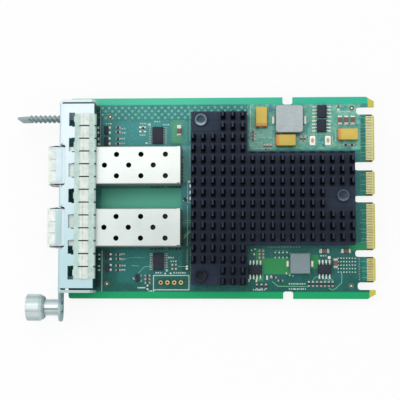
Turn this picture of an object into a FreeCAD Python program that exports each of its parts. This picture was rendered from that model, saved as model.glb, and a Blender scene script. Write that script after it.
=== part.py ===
import FreeCAD, Part
import math
import os
import Sketcher

# Network interface card. Millimetres. X runs from the faceplate's outer face to the edge contacts,
# Y across the card from its centre line, Z up from the board's component face.

Vector = FreeCAD.Vector
Rotation = FreeCAD.Rotation
Placement = FreeCAD.Placement

SIZES = {
    # circuit board
    "board_front": 2.3,
    "board_rear": 117.3,
    "board_half": 38.0,
    "board_thick": 1.57,
    "board_corner": 1.0,
    "side_notch_front": 83.0,
    "side_notch_rear": 86.7,
    "side_notch_deep": 2.75,
    "slot_corner": 1.0,
    "tongue_chamfer": 0.8,
    "guide_taper_long": 3.0,
    "guide_taper_wide": 1.75,
    "header_pitch": 2.54,
    "header_hole": 0.5,
    # edge contacts
    "contact_front": 114.1,
    "contact_long": 2.7,
    "contact_wide": 0.4,
    "contact_thick": 0.05,
    "contact_pitch": 0.6,
    # faceplate
    "plate_thick": 1.0,
    "plate_top": 11.5,
    "plate_bottom": -4.2,
    "plate_half": 34.2,
    "plate_bend": 1.5,
    "flange_top_deep": 13.0,
    "flange_bottom_deep": 8.0,
    "side_outer": 35.9,
    "side_low": 0.0,
    "side_high": 11.0,
    "bay_notch_wide": 15.2,
    "bay_notch_deep": 2.5,
    "bay_notch_floor": -0.3,
    "window_front": 3.7,
    "window_rear": 5.9,
    "window_long": 5.0,
    "window_pitch": 9.48,
    "window_middle": -0.1,
    "ear_middle": -41.3,
    "ear_height": 6.0,
    "ear_end": -46.5,
    "ear_half": 3.6,
    "ear_hole": 2.4,
    "foot_long": 9.0,
    "foot_wide": 4.4,
    "foot_middle": 31.9,
    "foot_hole_x": 6.5,
    "foot_hole": 1.0,
    # gaskets
    "gasket_half": 30.6,
    "gasket_middle": -0.2,
    "gasket_slit": 0.45,
    "gasket_pitch": 4.743,
    # transceiver cages
    "cage_front": -4.2,
    "cage_rear": 45.0,
    "cage_wide": 14.0,
    "cage_top": 9.8,
    "cage_wall": 0.3,
    "cage_hole": 1.0,
    "cage_one": 11.35,
    "cage_two": -11.75,
    "connector_front": 33.0,
    "connector_long": 11.0,
    "connector_wide": 11.4,
    "connector_tall": 8.0,
    "slot_wide": 9.4,
    "slot_tall": 2.2,
    "slot_deep": 6.5,
    "slot_floor": 3.0,
    # heatsink
    "sink_front": 48.7,
    "sink_step": 69.7,
    "sink_rear": 109.7,
    "sink_low": 2.7,
    "sink_floor": 5.1,
    "sink_ridge": 0.3,
    "sink_top": 11.2,
    "pin_pitch_x": 3.68,
    "pin_pitch_y": 4.133,
    "pin_tip": 0.8,
    "pin_root": 1.3,
    "pin_wide": 2.0,
    "sink_screw_head": 2.3,
    "sink_screw_shank": 1.2,
    # chips and pad below the heatsink
    "die_wide": 17.0,
    "die_tall": 1.8,
    "pad_wide": 14.0,
    "pad_tall": 0.9,
    # inductors
    "coil_large": 10.1,
    "coil_large_tall": 4.0,
    "coil_small": 7.25,
    "coil_small_tall": 3.0,
    "coil_lead_long": 1.4,
    "coil_lead_wide": 2.9,
    "coil_lead_small": 2.2,
    "coil_lead_thick": 0.3,
    # tantalum capacitors
    "tantalum_long": 7.4,
    "tantalum_wide": 4.25,
    "tantalum_tall": 2.8,
    "tantalum_foot": 0.15,
    # leaded chips
    "regulator_long": 4.9,
    "regulator_wide": 3.7,
    "regulator_tall": 1.6,
    "interface_long": 6.5,
    "interface_wide": 4.2,
    "interface_tall": 1.1,
    # two-ended chip parts
    "large_chip_long": 3.2,
    "large_chip_wide": 1.6,
    "large_chip_tall": 1.1,
    "large_chip_end": 0.5,
    "small_chip_long": 1.7,
    "small_chip_wide": 0.8,
    "small_chip_tall": 0.45,
    "led_long": 3.1,
    "led_wide": 1.6,
    "led_tall": 1.2,
    # thumbscrew, measured along its axis from the ear's front face
    "head_radius": 5.0,
    "head_front": -12.2,
    "head_rear": -5.5,
    "head_knurl_rear": -7.1,
    "head_cavity": 3.35,
    "ferrule_radius": 3.05,
    "ferrule_long": 6.0,
    "shank_radius": 1.5,
    "ring_radius": 2.1,
    "ring_thick": 0.6,
    "spring_wire": 0.22,
    "spring_home": 1.8,
    # pull tab
    "tab_long": 16.3,
    "tab_low": -1.2,
    "tab_tall": 9.4,
    "tab_middle": 29.6,
    # insulating film
    "film_thick": 0.25,
    "film_low": -3.6,
}

doc = FreeCAD.newDocument("network_interface_card")
sheet = doc.addObject("Spreadsheet::Sheet", "Dimensions")
for row, (alias, value) in enumerate(SIZES.items(), start=1):
    sheet.set("A%d" % row, alias)
    sheet.set("B%d" % row, str(value))
    sheet.setAlias("B%d" % row, alias)
doc.recompute()
nodes = []


def size(alias):
    return float(sheet.get(alias))


def bind(item, **expressions):
    for prop, alias in expressions.items():
        item.setExpression(prop, "Dimensions." + alias)
    return item


def keep(item, name):
    item.Label = name
    nodes.append(item)
    return item


# --- sketch and feature helpers ---------------------------------------------------------------

def new_body(name, place=Vector(0, 0, 0)):
    body = doc.addObject("PartDesign::Body", name)
    body.Placement = Placement(place, Rotation())
    return body


def sketch_on(body, role, name, lift=0.0):
    plane = next(item for item in body.Origin.OriginFeatures if item.Role == role)
    sketch = body.newObject("Sketcher::SketchObject", name)
    sketch.AttachmentSupport = (plane, [""])
    sketch.MapMode = "FlatFace"
    sketch.AttachmentOffset = Placement(Vector(0, 0, lift), Rotation())
    return sketch


def corner_arc(before, corner, after, radius):
    """Start, centre and swept angle of the arc that rounds one corner."""
    to_before = (before - corner).normalize()
    to_after = (after - corner).normalize()
    half_angle = to_before.getAngle(to_after) / 2.0
    start = corner + to_before * (radius / math.tan(half_angle))
    centre = corner + (to_before + to_after).normalize() * (radius / math.sin(half_angle))
    sweep = math.pi - 2.0 * half_angle
    if to_before.cross(to_after).z > 0:
        sweep = -sweep
    return start, centre, sweep


def draw_outline(sketch, corners, facets=3):
    """Closed outline through (x, y, corner radius); each rounded corner is a run of short facets."""
    points = [Vector(x, y, 0) for x, y, radius in corners]
    path = []
    for index, (x, y, radius) in enumerate(corners):
        point = points[index]
        if radius > 0:
            after = points[(index + 1) % len(points)]
            start, centre, sweep = corner_arc(points[index - 1], point, after, radius)
            for step in range(facets + 1):
                turn_by = Rotation(Vector(0, 0, 1), math.degrees(sweep * step / facets))
                path.append(centre + turn_by.multVec(start - centre))
        else:
            path.append(point)
    first = sketch.GeometryCount
    sketch.addGeometry([Part.LineSegment(path[i - 1], path[i]) for i in range(len(path))], False)
    joined = []
    for index in range(len(path)):
        after = first + (index + 1) % len(path)
        joined.append(Sketcher.Constraint("Coincident", first + index, 2, after, 1))
    sketch.addConstraint(joined)
    return sketch


def draw_rectangle(sketch, x_low, y_low, x_high, y_high, radius=0.0):
    corners = [(x_low, y_low, radius), (x_high, y_low, radius), (x_high, y_high, radius),
               (x_low, y_high, radius)]
    return draw_outline(sketch, corners)


def draw_polygons(sketch, centres, radius, sides=12):
    """Small round holes and pins drawn with flat sides, which keeps the mesh light."""
    for x, y in centres:
        corners = []
        for side in range(sides):
            angle = 2.0 * math.pi * (side + 0.5) / sides
            corners.append((x + radius * math.cos(angle), y + radius * math.sin(angle), 0))
        draw_outline(sketch, corners)
    return sketch


def grow(body, sketch, kind, name, length, reverse=False):
    """Pad or pocket a sketch; length is a sheet alias or a number."""
    feature = body.newObject("PartDesign::" + kind, name)
    feature.Profile = sketch
    feature.Reversed = reverse
    if isinstance(length, str):
        feature.setExpression("Length", "Dimensions." + length)
    else:
        feature.Length = length
    sketch.Visibility = False
    return feature


def turn(body, sketch, name, axis):
    feature = body.newObject("PartDesign::Revolution", name)
    feature.Profile = sketch
    feature.ReferenceAxis = (sketch, [axis])
    feature.Angle = 360
    return feature


def repeat_round(body, feature, name, count):
    pattern = body.newObject("PartDesign::PolarPattern", name)
    pattern.Originals = [feature]
    axis = next(item for item in body.Origin.OriginFeatures if item.Role == "X_Axis")
    pattern.Axis = (axis, [""])
    pattern.Angle = 360
    pattern.Occurrences = count
    body.Tip = pattern
    return pattern


def repeat_along(body, feature, sketch, name, step, count):
    pattern = body.newObject("PartDesign::LinearPattern", name)
    pattern.Originals = [feature]
    pattern.Direction = (sketch, ["V_Axis"])
    pattern.Length = step * (count - 1)
    pattern.Occurrences = count
    body.Tip = pattern
    return pattern


def block(name, corner, lengths):
    """Part box with sizes bound to the sheet."""
    item = doc.addObject("Part::Box", name)
    item.Placement = Placement(Vector(*corner), Rotation())
    return bind(item, Length=lengths[0], Width=lengths[1], Height=lengths[2])


def centred_block(name, centre, lengths):
    """Box centred on (x, y) with its base at z."""
    x, y, z = centre
    return block(name, (x - size(lengths[0]) / 2, y - size(lengths[1]) / 2, z), lengths)


def gather(name, items):
    group = doc.addObject("Part::Compound", name)
    group.Links = items
    return keep(group, name)


def code_shape(name, shape, place=Placement()):
    item = doc.addObject("Part::Feature", name)
    item.Shape = shape
    item.Placement = place
    return keep(item, name)


def prism(points, direction):
    """Solid swept from a closed polygon."""
    corners = [Vector(*point) for point in points]
    face = Part.Face(Part.makePolygon(corners + corners[:1]))
    return face.extrude(Vector(*direction))


# --- circuit board ----------------------------------------------------------------------------

# contact tongues, lower and upper edge in Y, with the number of contacts on each face
TONGUES = [(-31.8, -22.3, 14), (-19.8, -1.9, 28), (0.6, 10.1, 14), (13.35, 31.25, 28)]
GUIDE_TABS = (-34.6, 34.15)
SLOT_ENDS = (110.65, 109.85, 109.85, 109.85, 110.65)
HEADER_HOLE_FIRST = (37.1, -32.0)
HEADER_HOLES = 4


def board_outline():
    front, rear, half = size("board_front"), size("board_rear"), size("board_half")
    deep = half - size("side_notch_deep")
    notch_front, notch_rear = size("side_notch_front"), size("side_notch_rear")
    taper_x = rear - size("guide_taper_long")
    taper_y = half - size("guide_taper_wide")
    corner, slot, chamfer = size("board_corner"), size("slot_corner"), size("tongue_chamfer")
    outline = [(front, -half, corner), (notch_front, -half, 0), (notch_front, -deep, 0.8),
               (notch_rear, -deep, 0.8), (notch_rear, -half, 0), (taper_x, -half, 0),
               (rear, -taper_y, 0), (rear, GUIDE_TABS[0], 0)]
    edges = [GUIDE_TABS[0]]
    for low, high, count in TONGUES:
        edges += [low, high]
    edges.append(GUIDE_TABS[1])
    for index, slot_end in enumerate(SLOT_ENDS):
        low, high = edges[2 * index], edges[2 * index + 1]
        if index > 0:
            outline += [(rear, low - chamfer, 0), (rear - chamfer, low, 0)]
        outline += [(slot_end, low, slot), (slot_end, high, slot)]
        if index < len(SLOT_ENDS) - 1:
            outline += [(rear - chamfer, high, 0), (rear, high + chamfer, 0)]
    outline += [(rear, GUIDE_TABS[1], 0), (rear, taper_y, 0), (taper_x, half, 0),
                (notch_rear, half, 0), (notch_rear, deep, 0.8), (notch_front, deep, 0.8),
                (notch_front, half, 0), (front, half, corner)]
    return outline


def make_board():
    body = new_body("circuit_board")
    outline = draw_outline(sketch_on(body, "XY_Plane", "board_outline"), board_outline())
    grow(body, outline, "Pad", "board_pad", "board_thick", reverse=True)
    header = sketch_on(body, "XY_Plane", "header_holes")
    x_first, y_first = HEADER_HOLE_FIRST
    places = [(x_first + size("header_pitch") * step, y_first) for step in range(HEADER_HOLES)]
    draw_polygons(header, places, size("header_hole"))
    grow(body, header, "Pocket", "header_pocket", "board_thick")
    screws = sketch_on(body, "XY_Plane", "foot_screw_holes")
    places = [(size("foot_hole_x"), side * size("foot_middle")) for side in (-1, 1)]
    draw_polygons(screws, places, size("foot_hole"))
    grow(body, screws, "Pocket", "foot_screw_pocket", "board_thick")
    keep(body, "circuit_board")


def make_contacts():
    lengths = ("contact_long", "contact_wide", "contact_thick")
    pitch, wide = size("contact_pitch"), size("contact_wide")
    low_faces = (0.0, -size("board_thick") - size("contact_thick"))
    contacts = []
    for low, high, count in TONGUES:
        first = (low + high) / 2 - pitch * (count - 1) / 2 - wide / 2
        for step in range(count):
            for z in low_faces:
                corner = (size("contact_front"), first + pitch * step, z)
                contacts.append(block("contact_%03d" % len(contacts), corner, lengths))
    gather("edge_contacts", contacts)


# --- faceplate --------------------------------------------------------------------------------

LED_HOLES = [(25.75, 2.2), (21.5, 2.2), (-21.6, 2.2), (-26.3, 2.2)]
WINDOWS = 7


def make_faceplate():
    thick, bend, half = size("plate_thick"), size("plate_bend"), size("plate_half")
    top, bottom = size("plate_top"), size("plate_bottom")
    inner_bend = bend - thick
    body = new_body("faceplate")
    section = sketch_on(body, "XZ_Plane", "plate_section", -half)
    draw_outline(section, [
        (0, bottom, bend), (size("flange_bottom_deep"), bottom, 0),
        (size("flange_bottom_deep"), bottom + thick, 0), (thick, bottom + thick, inner_bend),
        (thick, top - thick, inner_bend), (size("flange_top_deep"), top - thick, 0),
        (size("flange_top_deep"), top, 0), (0, top, bend)])
    grow(body, section, "Pad", "plate_pad", 2 * half)

    side_low, side_outer = size("side_low"), size("side_outer")
    sides = sketch_on(body, "XY_Plane", "side_plates", side_low)
    for side in (-1, 1):
        outer = side * side_outer
        inner = side * (side_outer - thick)
        draw_outline(sides, [
            (0, side * half, 0), (0, outer, bend), (size("flange_top_deep"), outer, 0),
            (size("flange_top_deep"), inner, 0), (thick, inner, inner_bend), (thick, side * half, 0)])
    side_pad = grow(body, sides, "Pad", "side_pad", size("side_high") - side_low)
    doc.recompute()
    rear_edges = []
    for index, edge in enumerate(side_pad.Shape.Edges, start=1):
        middle = edge.CenterOfMass
        upright = abs(edge.BoundBox.YLength - thick) < 1e-3 and abs(middle.y) > side_outer - thick
        if upright and abs(middle.x - size("flange_top_deep")) < 1e-3:
            rear_edges.append("Edge%d" % index)
    rounding = body.newObject("PartDesign::Chamfer", "side_corners")
    rounding.Base = (side_pad, rear_edges)
    rounding.Size = 1.0

    ear = sketch_on(body, "YZ_Plane", "ear_outline")
    ear_y, ear_z, ear_half = size("ear_middle"), size("ear_height"), size("ear_half")
    ear_end = size("ear_end")
    draw_outline(ear, [
        (ear_end, ear_z - ear_half, ear_half - 0.01), (-half + 1.0, ear_z - ear_half, 0),
        (-half + 1.0, ear_z + ear_half, 0), (ear_end, ear_z + ear_half, ear_half - 0.01)], 8)
    grow(body, ear, "Pad", "ear_pad", "plate_thick")

    feet = sketch_on(body, "XY_Plane", "feet")
    foot_half = size("foot_wide") / 2
    for side in (-1, 1):
        middle = side * size("foot_middle")
        draw_outline(feet, [
            (thick / 2, middle - foot_half, 0), (size("foot_long"), middle - foot_half, 1.0),
            (size("foot_long"), middle + foot_half, 1.0), (thick / 2, middle + foot_half, 0)])
    grow(body, feet, "Pad", "feet_pad", "plate_thick")

    foot_holes = sketch_on(body, "XY_Plane", "foot_holes", thick)
    places = [(size("foot_hole_x"), side * size("foot_middle")) for side in (-1, 1)]
    draw_polygons(foot_holes, places, size("foot_hole"))
    grow(body, foot_holes, "Pocket", "foot_hole_pocket", "plate_thick")

    bays = sketch_on(body, "XY_Plane", "bay_notches", top)
    bay_half, bay_deep = size("bay_notch_wide") / 2, size("bay_notch_deep")
    for cage in ("cage_one", "cage_two"):
        middle = size(cage)
        draw_outline(bays, [
            (-1, middle - bay_half, 0), (bay_deep, middle - bay_half, 1.0),
            (bay_deep, middle + bay_half, 1.0), (-1, middle + bay_half, 0)])
    grow(body, bays, "Pocket", "bay_pocket", top - size("bay_notch_floor"))

    windows = sketch_on(body, "XY_Plane", "windows", top)
    first = size("window_middle") - size("window_pitch") * (WINDOWS - 1) / 2
    for step in range(WINDOWS):
        middle = first + size("window_pitch") * step
        draw_rectangle(windows, size("window_front"), middle - size("window_long") / 2,
                       size("window_rear"), middle + size("window_long") / 2)
    grow(body, windows, "Pocket", "window_pocket", "plate_thick")

    openings = sketch_on(body, "YZ_Plane", "front_openings", thick)
    draw_polygons(openings, [(ear_y, ear_z)], size("ear_hole"), 24)
    draw_polygons(openings, LED_HOLES, size("foot_hole"))
    draw_rectangle(openings, size("tab_middle") - 0.8, 1.2, size("tab_middle") + 0.8, 5.8)
    grow(body, openings, "Pocket", "front_pocket", "plate_thick")
    keep(body, "faceplate")


def make_gasket(name, face, inward, front, rear_edge):
    """Finger strip that wraps a flange; inward is +1 when the flange lies below the arch."""
    half, middle = size("gasket_half"), size("gasket_middle")
    thick = size("plate_thick")
    ridge = front + 3.8 if inward > 0 else front + 3.0
    upper = [(front, 0.2), (front + 1.3, 0.3), (ridge, 0.8), (rear_edge - 0.7, 0.3),
             (rear_edge + 0.5, 0.2), (rear_edge + 0.9, -0.2), (rear_edge + 0.9, -0.8),
             (rear_edge + 0.4, -thick - 0.2), (rear_edge - 1.2, -thick - 0.2)]
    lower = [(rear_edge - 1.2, -thick), (rear_edge + 0.3, -thick), (rear_edge + 0.7, -0.7),
             (rear_edge + 0.7, -0.3), (rear_edge + 0.4, 0.0), (rear_edge - 0.7, 0.1),
             (ridge, 0.6), (front + 1.3, 0.1), (front, 0.0)]
    body = new_body(name)
    section = sketch_on(body, "XZ_Plane", name + "_section", -(middle + half))
    draw_outline(section, [(x, face + inward * z, 0) for x, z in upper + lower])
    grow(body, section, "Pad", name + "_pad", 2 * half)
    slits = sketch_on(body, "XY_Plane", name + "_slits", face + inward * 1.0)
    first = middle - size("gasket_pitch") * 5.5
    slit_half = size("gasket_slit") / 2
    draw_rectangle(slits, front + 1.7, first - slit_half, rear_edge - 1.6, first + slit_half)
    cut = grow(body, slits, "Pocket", name + "_slit", 1.2, reverse=inward < 0)
    repeat_along(body, cut, slits, name + "_slit_row", size("gasket_pitch"), 12)
    return body


def make_gaskets():
    top = make_gasket("top_gasket", size("plate_top"), 1, size("window_rear"), size("flange_top_deep"))
    clips = sketch_on(top, "XY_Plane", "window_clips", size("plate_top") + 0.2)
    first = size("window_middle") - size("window_pitch") * (WINDOWS - 1) / 2
    for step in range(WINDOWS):
        middle = first + size("window_pitch") * step
        draw_rectangle(clips, size("window_rear") - 0.35, middle - 1.1, size("window_rear"), middle + 1.1)
    grow(top, clips, "Pad", "clip_pad", 1.5, reverse=True)
    keep(top, "top_gasket")
    bottom = make_gasket("bottom_gasket", size("plate_bottom"), -1, 1.9, size("flange_bottom_deep"))
    keep(bottom, "bottom_gasket")


# --- screws -----------------------------------------------------------------------------------

def ring_of(radius, height, sides):
    points = []
    for side in range(sides + 1):
        angle = 2.0 * math.pi * side / sides
        points.append(Vector(radius * math.cos(angle), radius * math.sin(angle), height))
    return Part.makePolygon(points)


def screw_shape(head_radius, head_tall, shank_radius, shank_long):
    """Screw whose head sits on the origin and whose shank points down."""
    rings = [ring_of(head_radius, 0, 12), ring_of(head_radius, head_tall * 0.6, 12),
             ring_of(head_radius * 0.75, head_tall, 12)]
    head = Part.makeLoft(rings, True, True)
    shank = Part.makeLoft([ring_of(shank_radius, -shank_long, 8), ring_of(shank_radius, 0.1, 8)],
                          True, True)
    return head.fuse(shank).removeSplitter()


def standoff_shape(bore_radius):
    """Hexagonal tube from the board to the heatsink."""
    tall = size("sink_low")
    tube = Part.makeLoft([ring_of(2.3, 0, 6), ring_of(2.3, tall, 6)], True, True)
    bore = Part.makeLoft([ring_of(bore_radius, 0, 12), ring_of(bore_radius, tall, 12)], True, True)
    return tube.cut(bore)


SINK_SCREWS = [(52.45, 28.7), (52.45, -29.5), (105.2, 0.2)]


def make_screws():
    flipped = Rotation(Vector(1, 0, 0), 180)
    foot_screw = screw_shape(1.9, 1.1, size("foot_hole") - 0.05, 2.4)
    foot_screws = []
    for side in (-1, 1):
        place = Vector(size("foot_hole_x"), side * size("foot_middle"), -size("board_thick"))
        screw = foot_screw.copy()
        screw.Placement = Placement(place, flipped)
        foot_screws.append(screw)
    code_shape("faceplate_screws", Part.makeCompound(foot_screws))
    shank = size("sink_screw_shank")
    sink_screw = screw_shape(size("sink_screw_head"), 1.6, shank, size("sink_floor") - 0.3)
    standoff = standoff_shape(shank + 0.05)
    sink_screws = [sink_screw.translated(Vector(x, y, size("sink_floor"))) for x, y in SINK_SCREWS]
    standoffs = [standoff.translated(Vector(x, y, 0)) for x, y in SINK_SCREWS]
    code_shape("heatsink_screws", Part.makeCompound(sink_screws))
    code_shape("heatsink_standoffs", Part.makeCompound(standoffs))


# --- transceiver cages ------------------------------------------------------------------------

CAGE_HOLES = [(21.3, -4.0), (30.4, -4.0), (39.5, -4.0), (16.8, 0.0), (25.85, 0.0), (35.0, 0.0),
              (21.3, 4.0), (30.4, 4.0), (39.5, 4.0)]
CONNECTOR_CONTACTS = 10
CONNECTOR_PITCH = 0.8


def make_cage(name, middle):
    front, rear, top = size("cage_front"), size("cage_rear"), size("cage_top")
    half, wall = size("cage_wide") / 2, size("cage_wall")
    body = new_body(name, Vector(0, middle, 0))
    tube = sketch_on(body, "YZ_Plane", name + "_section", front)
    draw_rectangle(tube, -half, 0, half, top, 0.5)
    draw_rectangle(tube, -half + wall, wall, half - wall, top - wall)
    grow(body, tube, "Pad", name + "_tube", rear - front)
    back = sketch_on(body, "YZ_Plane", name + "_back", rear)
    draw_rectangle(back, -half + wall / 2, wall / 2, half - wall / 2, top - wall / 2)
    grow(body, back, "Pad", name + "_back_wall", "cage_wall", reverse=True)
    roof = sketch_on(body, "XY_Plane", name + "_roof_holes", top)
    draw_polygons(roof, CAGE_HOLES, size("cage_hole"))
    for side in (-1, 1):
        inner, outer = sorted((side * (half - 1.1), side * (half + 1)))
        draw_rectangle(roof, rear - 1.2, inner, rear + 1, outer)
    grow(body, roof, "Pocket", name + "_roof_pocket", "cage_wall")
    floor = sketch_on(body, "XY_Plane", name + "_floor_opening", wall)
    draw_rectangle(floor, 32.0, -half + 1.0, rear - 1.0, half - 1.0)
    grow(body, floor, "Pocket", name + "_floor_pocket", "cage_wall")
    keep(body, name)


def make_collar(name, middle):
    front, top, half = size("cage_front"), size("cage_top"), size("cage_wide") / 2
    body = new_body(name, Vector(0, middle, 0))
    band = sketch_on(body, "YZ_Plane", name + "_band", front)
    draw_rectangle(band, -half - 0.2, -0.2, half + 0.2, top + 0.2)
    draw_rectangle(band, -half, 0, half, top)
    grow(body, band, "Pad", name + "_band_pad", 0.9)
    arch = [(front + 0.6, 0.0), (-1.0, 0.4), (0.9, 0.0), (1.0, 0.14), (-1.0, 0.55),
            (front + 0.6, 0.2)]
    sides = sketch_on(body, "XY_Plane", name + "_side_fingers", 0.8)
    for side in (-1, 1):
        draw_outline(sides, [(x, side * (half + out), 0) for x, out in arch])
    grow(body, sides, "Pad", name + "_side_pad", top - 1.6)
    roof = sketch_on(body, "XZ_Plane", name + "_roof_fingers", -6.2)
    draw_outline(roof, [(x, top + out, 0) for x, out in arch])
    grow(body, roof, "Pad", name + "_roof_pad", 12.4)
    gaps = sketch_on(body, "YZ_Plane", name + "_gaps", front + 0.9)
    for y in (-2.1, 2.1):
        draw_rectangle(gaps, y - 0.25, top - 0.5, y + 0.25, top + 1)
    draw_rectangle(gaps, -half - 1, top / 2 - 0.25, half + 1, top / 2 + 0.25)
    grow(body, gaps, "Pocket", name + "_gap_pocket", 2.0, reverse=True)
    keep(body, name)


def make_connector(name, middle):
    lengths = ("connector_long", "connector_wide", "connector_tall")
    front = size("connector_front")
    housing = centred_block(name + "_housing", (front + size("connector_long") / 2, middle, 0), lengths)
    slot_corner = (front, middle - size("slot_wide") / 2, size("slot_floor"))
    slot = block(name + "_slot", slot_corner, ("slot_deep", "slot_wide", "slot_tall"))
    cut = doc.addObject("Part::Cut", name)
    cut.Base = housing
    cut.Tool = slot
    return keep(cut, name)


def make_connector_contacts():
    blades = []
    front = size("connector_front") + 1.0
    floor = size("slot_floor")
    roof = floor + size("slot_tall")
    first = -CONNECTOR_PITCH * (CONNECTOR_CONTACTS - 1) / 2
    for cage in ("cage_one", "cage_two"):
        for step in range(CONNECTOR_CONTACTS):
            y = size(cage) + first + CONNECTOR_PITCH * step - 0.2
            for low in (floor, roof - 0.3):
                blades.append(Part.makeBox(size("slot_deep") - 1.0, 0.4, 0.3, Vector(front, y, low)))
    code_shape("connector_contacts", Part.makeCompound(blades))


# --- heatsink ---------------------------------------------------------------------------------

PIN_FIRST = (49.7, 30.45)
LEFT_COLUMNS = 6
RIGHT_COLUMNS = 11
LEFT_EDGES = (-32.9, 32.0)
RIGHT_EDGES = (-18.0, 16.8)
PIN_ROWS = 16


def comb(x_low, x_high, first_pin, columns):
    """Side view of the base with its fins."""
    low, top = size("sink_low"), size("sink_top")
    floor = size("sink_floor") + size("sink_ridge")
    root, tip = size("pin_root") / 2, size("pin_tip") / 2
    profile = [(x_high, low, 0), (x_high, floor, 0)]
    for column in reversed(range(columns)):
        x = first_pin + size("pin_pitch_x") * column
        profile += [(x + root, floor, 0), (x + tip, top, 0), (x - tip, top, 0), (x - root, floor, 0)]
    return profile + [(x_low, floor, 0), (x_low, low, 0)]


def make_heatsink():
    floor, top = size("sink_floor"), size("sink_top")
    pitch_x, pitch_y = size("pin_pitch_x"), size("pin_pitch_y")
    body = new_body("heatsink")
    blocks = [("front", size("sink_front"), size("sink_step"), 0, LEFT_COLUMNS, LEFT_EDGES),
              ("rear", size("sink_step"), size("sink_rear"), LEFT_COLUMNS, RIGHT_COLUMNS, RIGHT_EDGES)]
    for name, x_low, x_high, skipped, columns, (y_low, y_high) in blocks:
        section = sketch_on(body, "XZ_Plane", name + "_comb", -y_high)
        draw_outline(section, comb(x_low, x_high, PIN_FIRST[0] + pitch_x * skipped, columns))
        grow(body, section, "Pad", name + "_block", y_high - y_low)

    saw = sketch_on(body, "XY_Plane", "saw_cut", top + 0.5)
    gap_half = (pitch_y - size("pin_wide")) / 2
    last = PIN_FIRST[1] - pitch_y * (PIN_ROWS - 0.5)
    draw_rectangle(saw, size("sink_front") - 1, last - gap_half, size("sink_rear") + 1, last + gap_half)
    cut = grow(body, saw, "Pocket", "saw_pocket", top + 0.5 - floor)
    repeat_along(body, cut, saw, "saw_cuts", pitch_y, PIN_ROWS + 1)

    clear = sketch_on(body, "XY_Plane", "screw_clearance", top + 0.5)
    draw_rectangle(clear, 47.7, 24.25, 58.9, 33.0)
    draw_rectangle(clear, 47.7, -33.9, 58.9, -25.35)
    draw_rectangle(clear, 99.4, -4.7, 110.7, 3.6)
    grow(body, clear, "Pocket", "clearance_pocket", top + 0.5 - floor)

    holes = sketch_on(body, "XY_Plane", "screw_holes", floor)
    draw_polygons(holes, SINK_SCREWS, size("sink_screw_shank") + 0.1)
    grow(body, holes, "Pocket", "screw_hole_pocket", floor - size("sink_low"))
    keep(body, "heatsink")


def make_controller():
    x, y = 88.0, -0.6
    keep(centred_block("controller_chip", (x, y, 0), ("die_wide", "die_wide", "die_tall")),
         "controller_chip")
    keep(centred_block("thermal_pad", (x, y, size("die_tall")), ("pad_wide", "pad_wide", "pad_tall")),
         "thermal_pad")


# --- power parts ------------------------------------------------------------------------------

LARGE_COIL = (85.5, 29.27)
SMALL_COIL = (89.25, -24.9)


def make_coil(name, centre, wide, tall):
    """Moulded block: rounded upright corners and a narrow bevel round its top."""
    half = size(wide) / 2
    body = new_body(name, Vector(centre[0], centre[1], 0))
    outline = sketch_on(body, "XY_Plane", name + "_outline")
    draw_rectangle(outline, -half, -half, half, half, 0.7)
    pad = grow(body, outline, "Pad", name + "_pad", tall)
    doc.recompute()
    top_edges = []
    for index, edge in enumerate(pad.Shape.Edges, start=1):
        if edge.BoundBox.ZMin > size(tall) - 1e-3:
            top_edges.append("Edge%d" % index)
    bevel = body.newObject("PartDesign::Chamfer", name + "_bevel")
    bevel.Base = (pad, top_edges)
    bevel.Size = 0.3
    keep(body, name)


def make_coils():
    make_coil("large_inductor", LARGE_COIL, "coil_large", "coil_large_tall")
    make_coil("small_inductor", SMALL_COIL, "coil_small", "coil_small_tall")
    leads = []
    coils = [(LARGE_COIL, "coil_large", "coil_lead_wide"), (SMALL_COIL, "coil_small", "coil_lead_small")]
    for (x, y), wide, lead_wide in coils:
        for side in (-1, 1):
            offset = side * (size(wide) + size("coil_lead_long")) / 2
            name = "coil_lead_%d" % len(leads)
            lengths = ("coil_lead_long", lead_wide, "coil_lead_thick")
            leads.append(centred_block(name, (x + offset, y, 0), lengths))
    gather("inductor_terminals", leads)


# centre and direction of the marked end, in degrees from +X
TANTALUMS = [(75.05, 30.35, -90), (84.2, 21.37, 180), (107.35, 23.52, 180)]


def make_tantalums():
    half_long, half_wide = size("tantalum_long") / 2, size("tantalum_wide") / 2
    tall, foot = size("tantalum_tall"), size("tantalum_foot")
    cases = []
    terminals = []
    for x, y, angle in TANTALUMS:
        place = Placement(Vector(x, y, 0), Rotation(Vector(0, 0, 1), angle))
        name = "tantalum_%d" % len(cases)
        body = doc.addObject("PartDesign::Body", name)
        section = sketch_on(body, "YZ_Plane", name + "_section", -half_long)
        draw_outline(section, [
            (-half_wide + 0.1, foot, 0), (half_wide - 0.1, foot, 0), (half_wide, 1.3, 0),
            (half_wide, tall - 0.25, 0), (half_wide - 0.25, tall, 0), (-half_wide + 0.25, tall, 0),
            (-half_wide, tall - 0.25, 0), (-half_wide, 1.3, 0)])
        grow(body, section, "Pad", name + "_pad", "tantalum_long")
        body.Placement = place
        cases.append(body)
        for side in (-1, 1):
            end = side * half_long
            profile = [(end - side * 1.3, -1.2, 0), (end + side * 0.15, -1.2, 0),
                       (end + side * 0.15, -1.2, 1.3), (end, -1.2, 1.3), (end, -1.2, foot),
                       (end - side * 1.3, -1.2, foot)]
            terminal = prism(profile, (0, 2.4, 0))
            terminal.Placement = place.multiply(terminal.Placement)
            terminals.append(terminal)
    gather("tantalum_capacitors", cases)
    code_shape("tantalum_terminals", Part.makeCompound(terminals))


# --- leaded chips -----------------------------------------------------------------------------

# centre and turn of each; leads leave a chip on its local +X and -X sides
REGULATORS = [(97.75, 32.35, 0), (97.6, 26.95, 0), (72.6, -27.2, 90), (98.4, -27.0, 90)]
INTERFACES = [(35.8, 23.65, 0), (36.3, -24.1, 0)]


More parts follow.
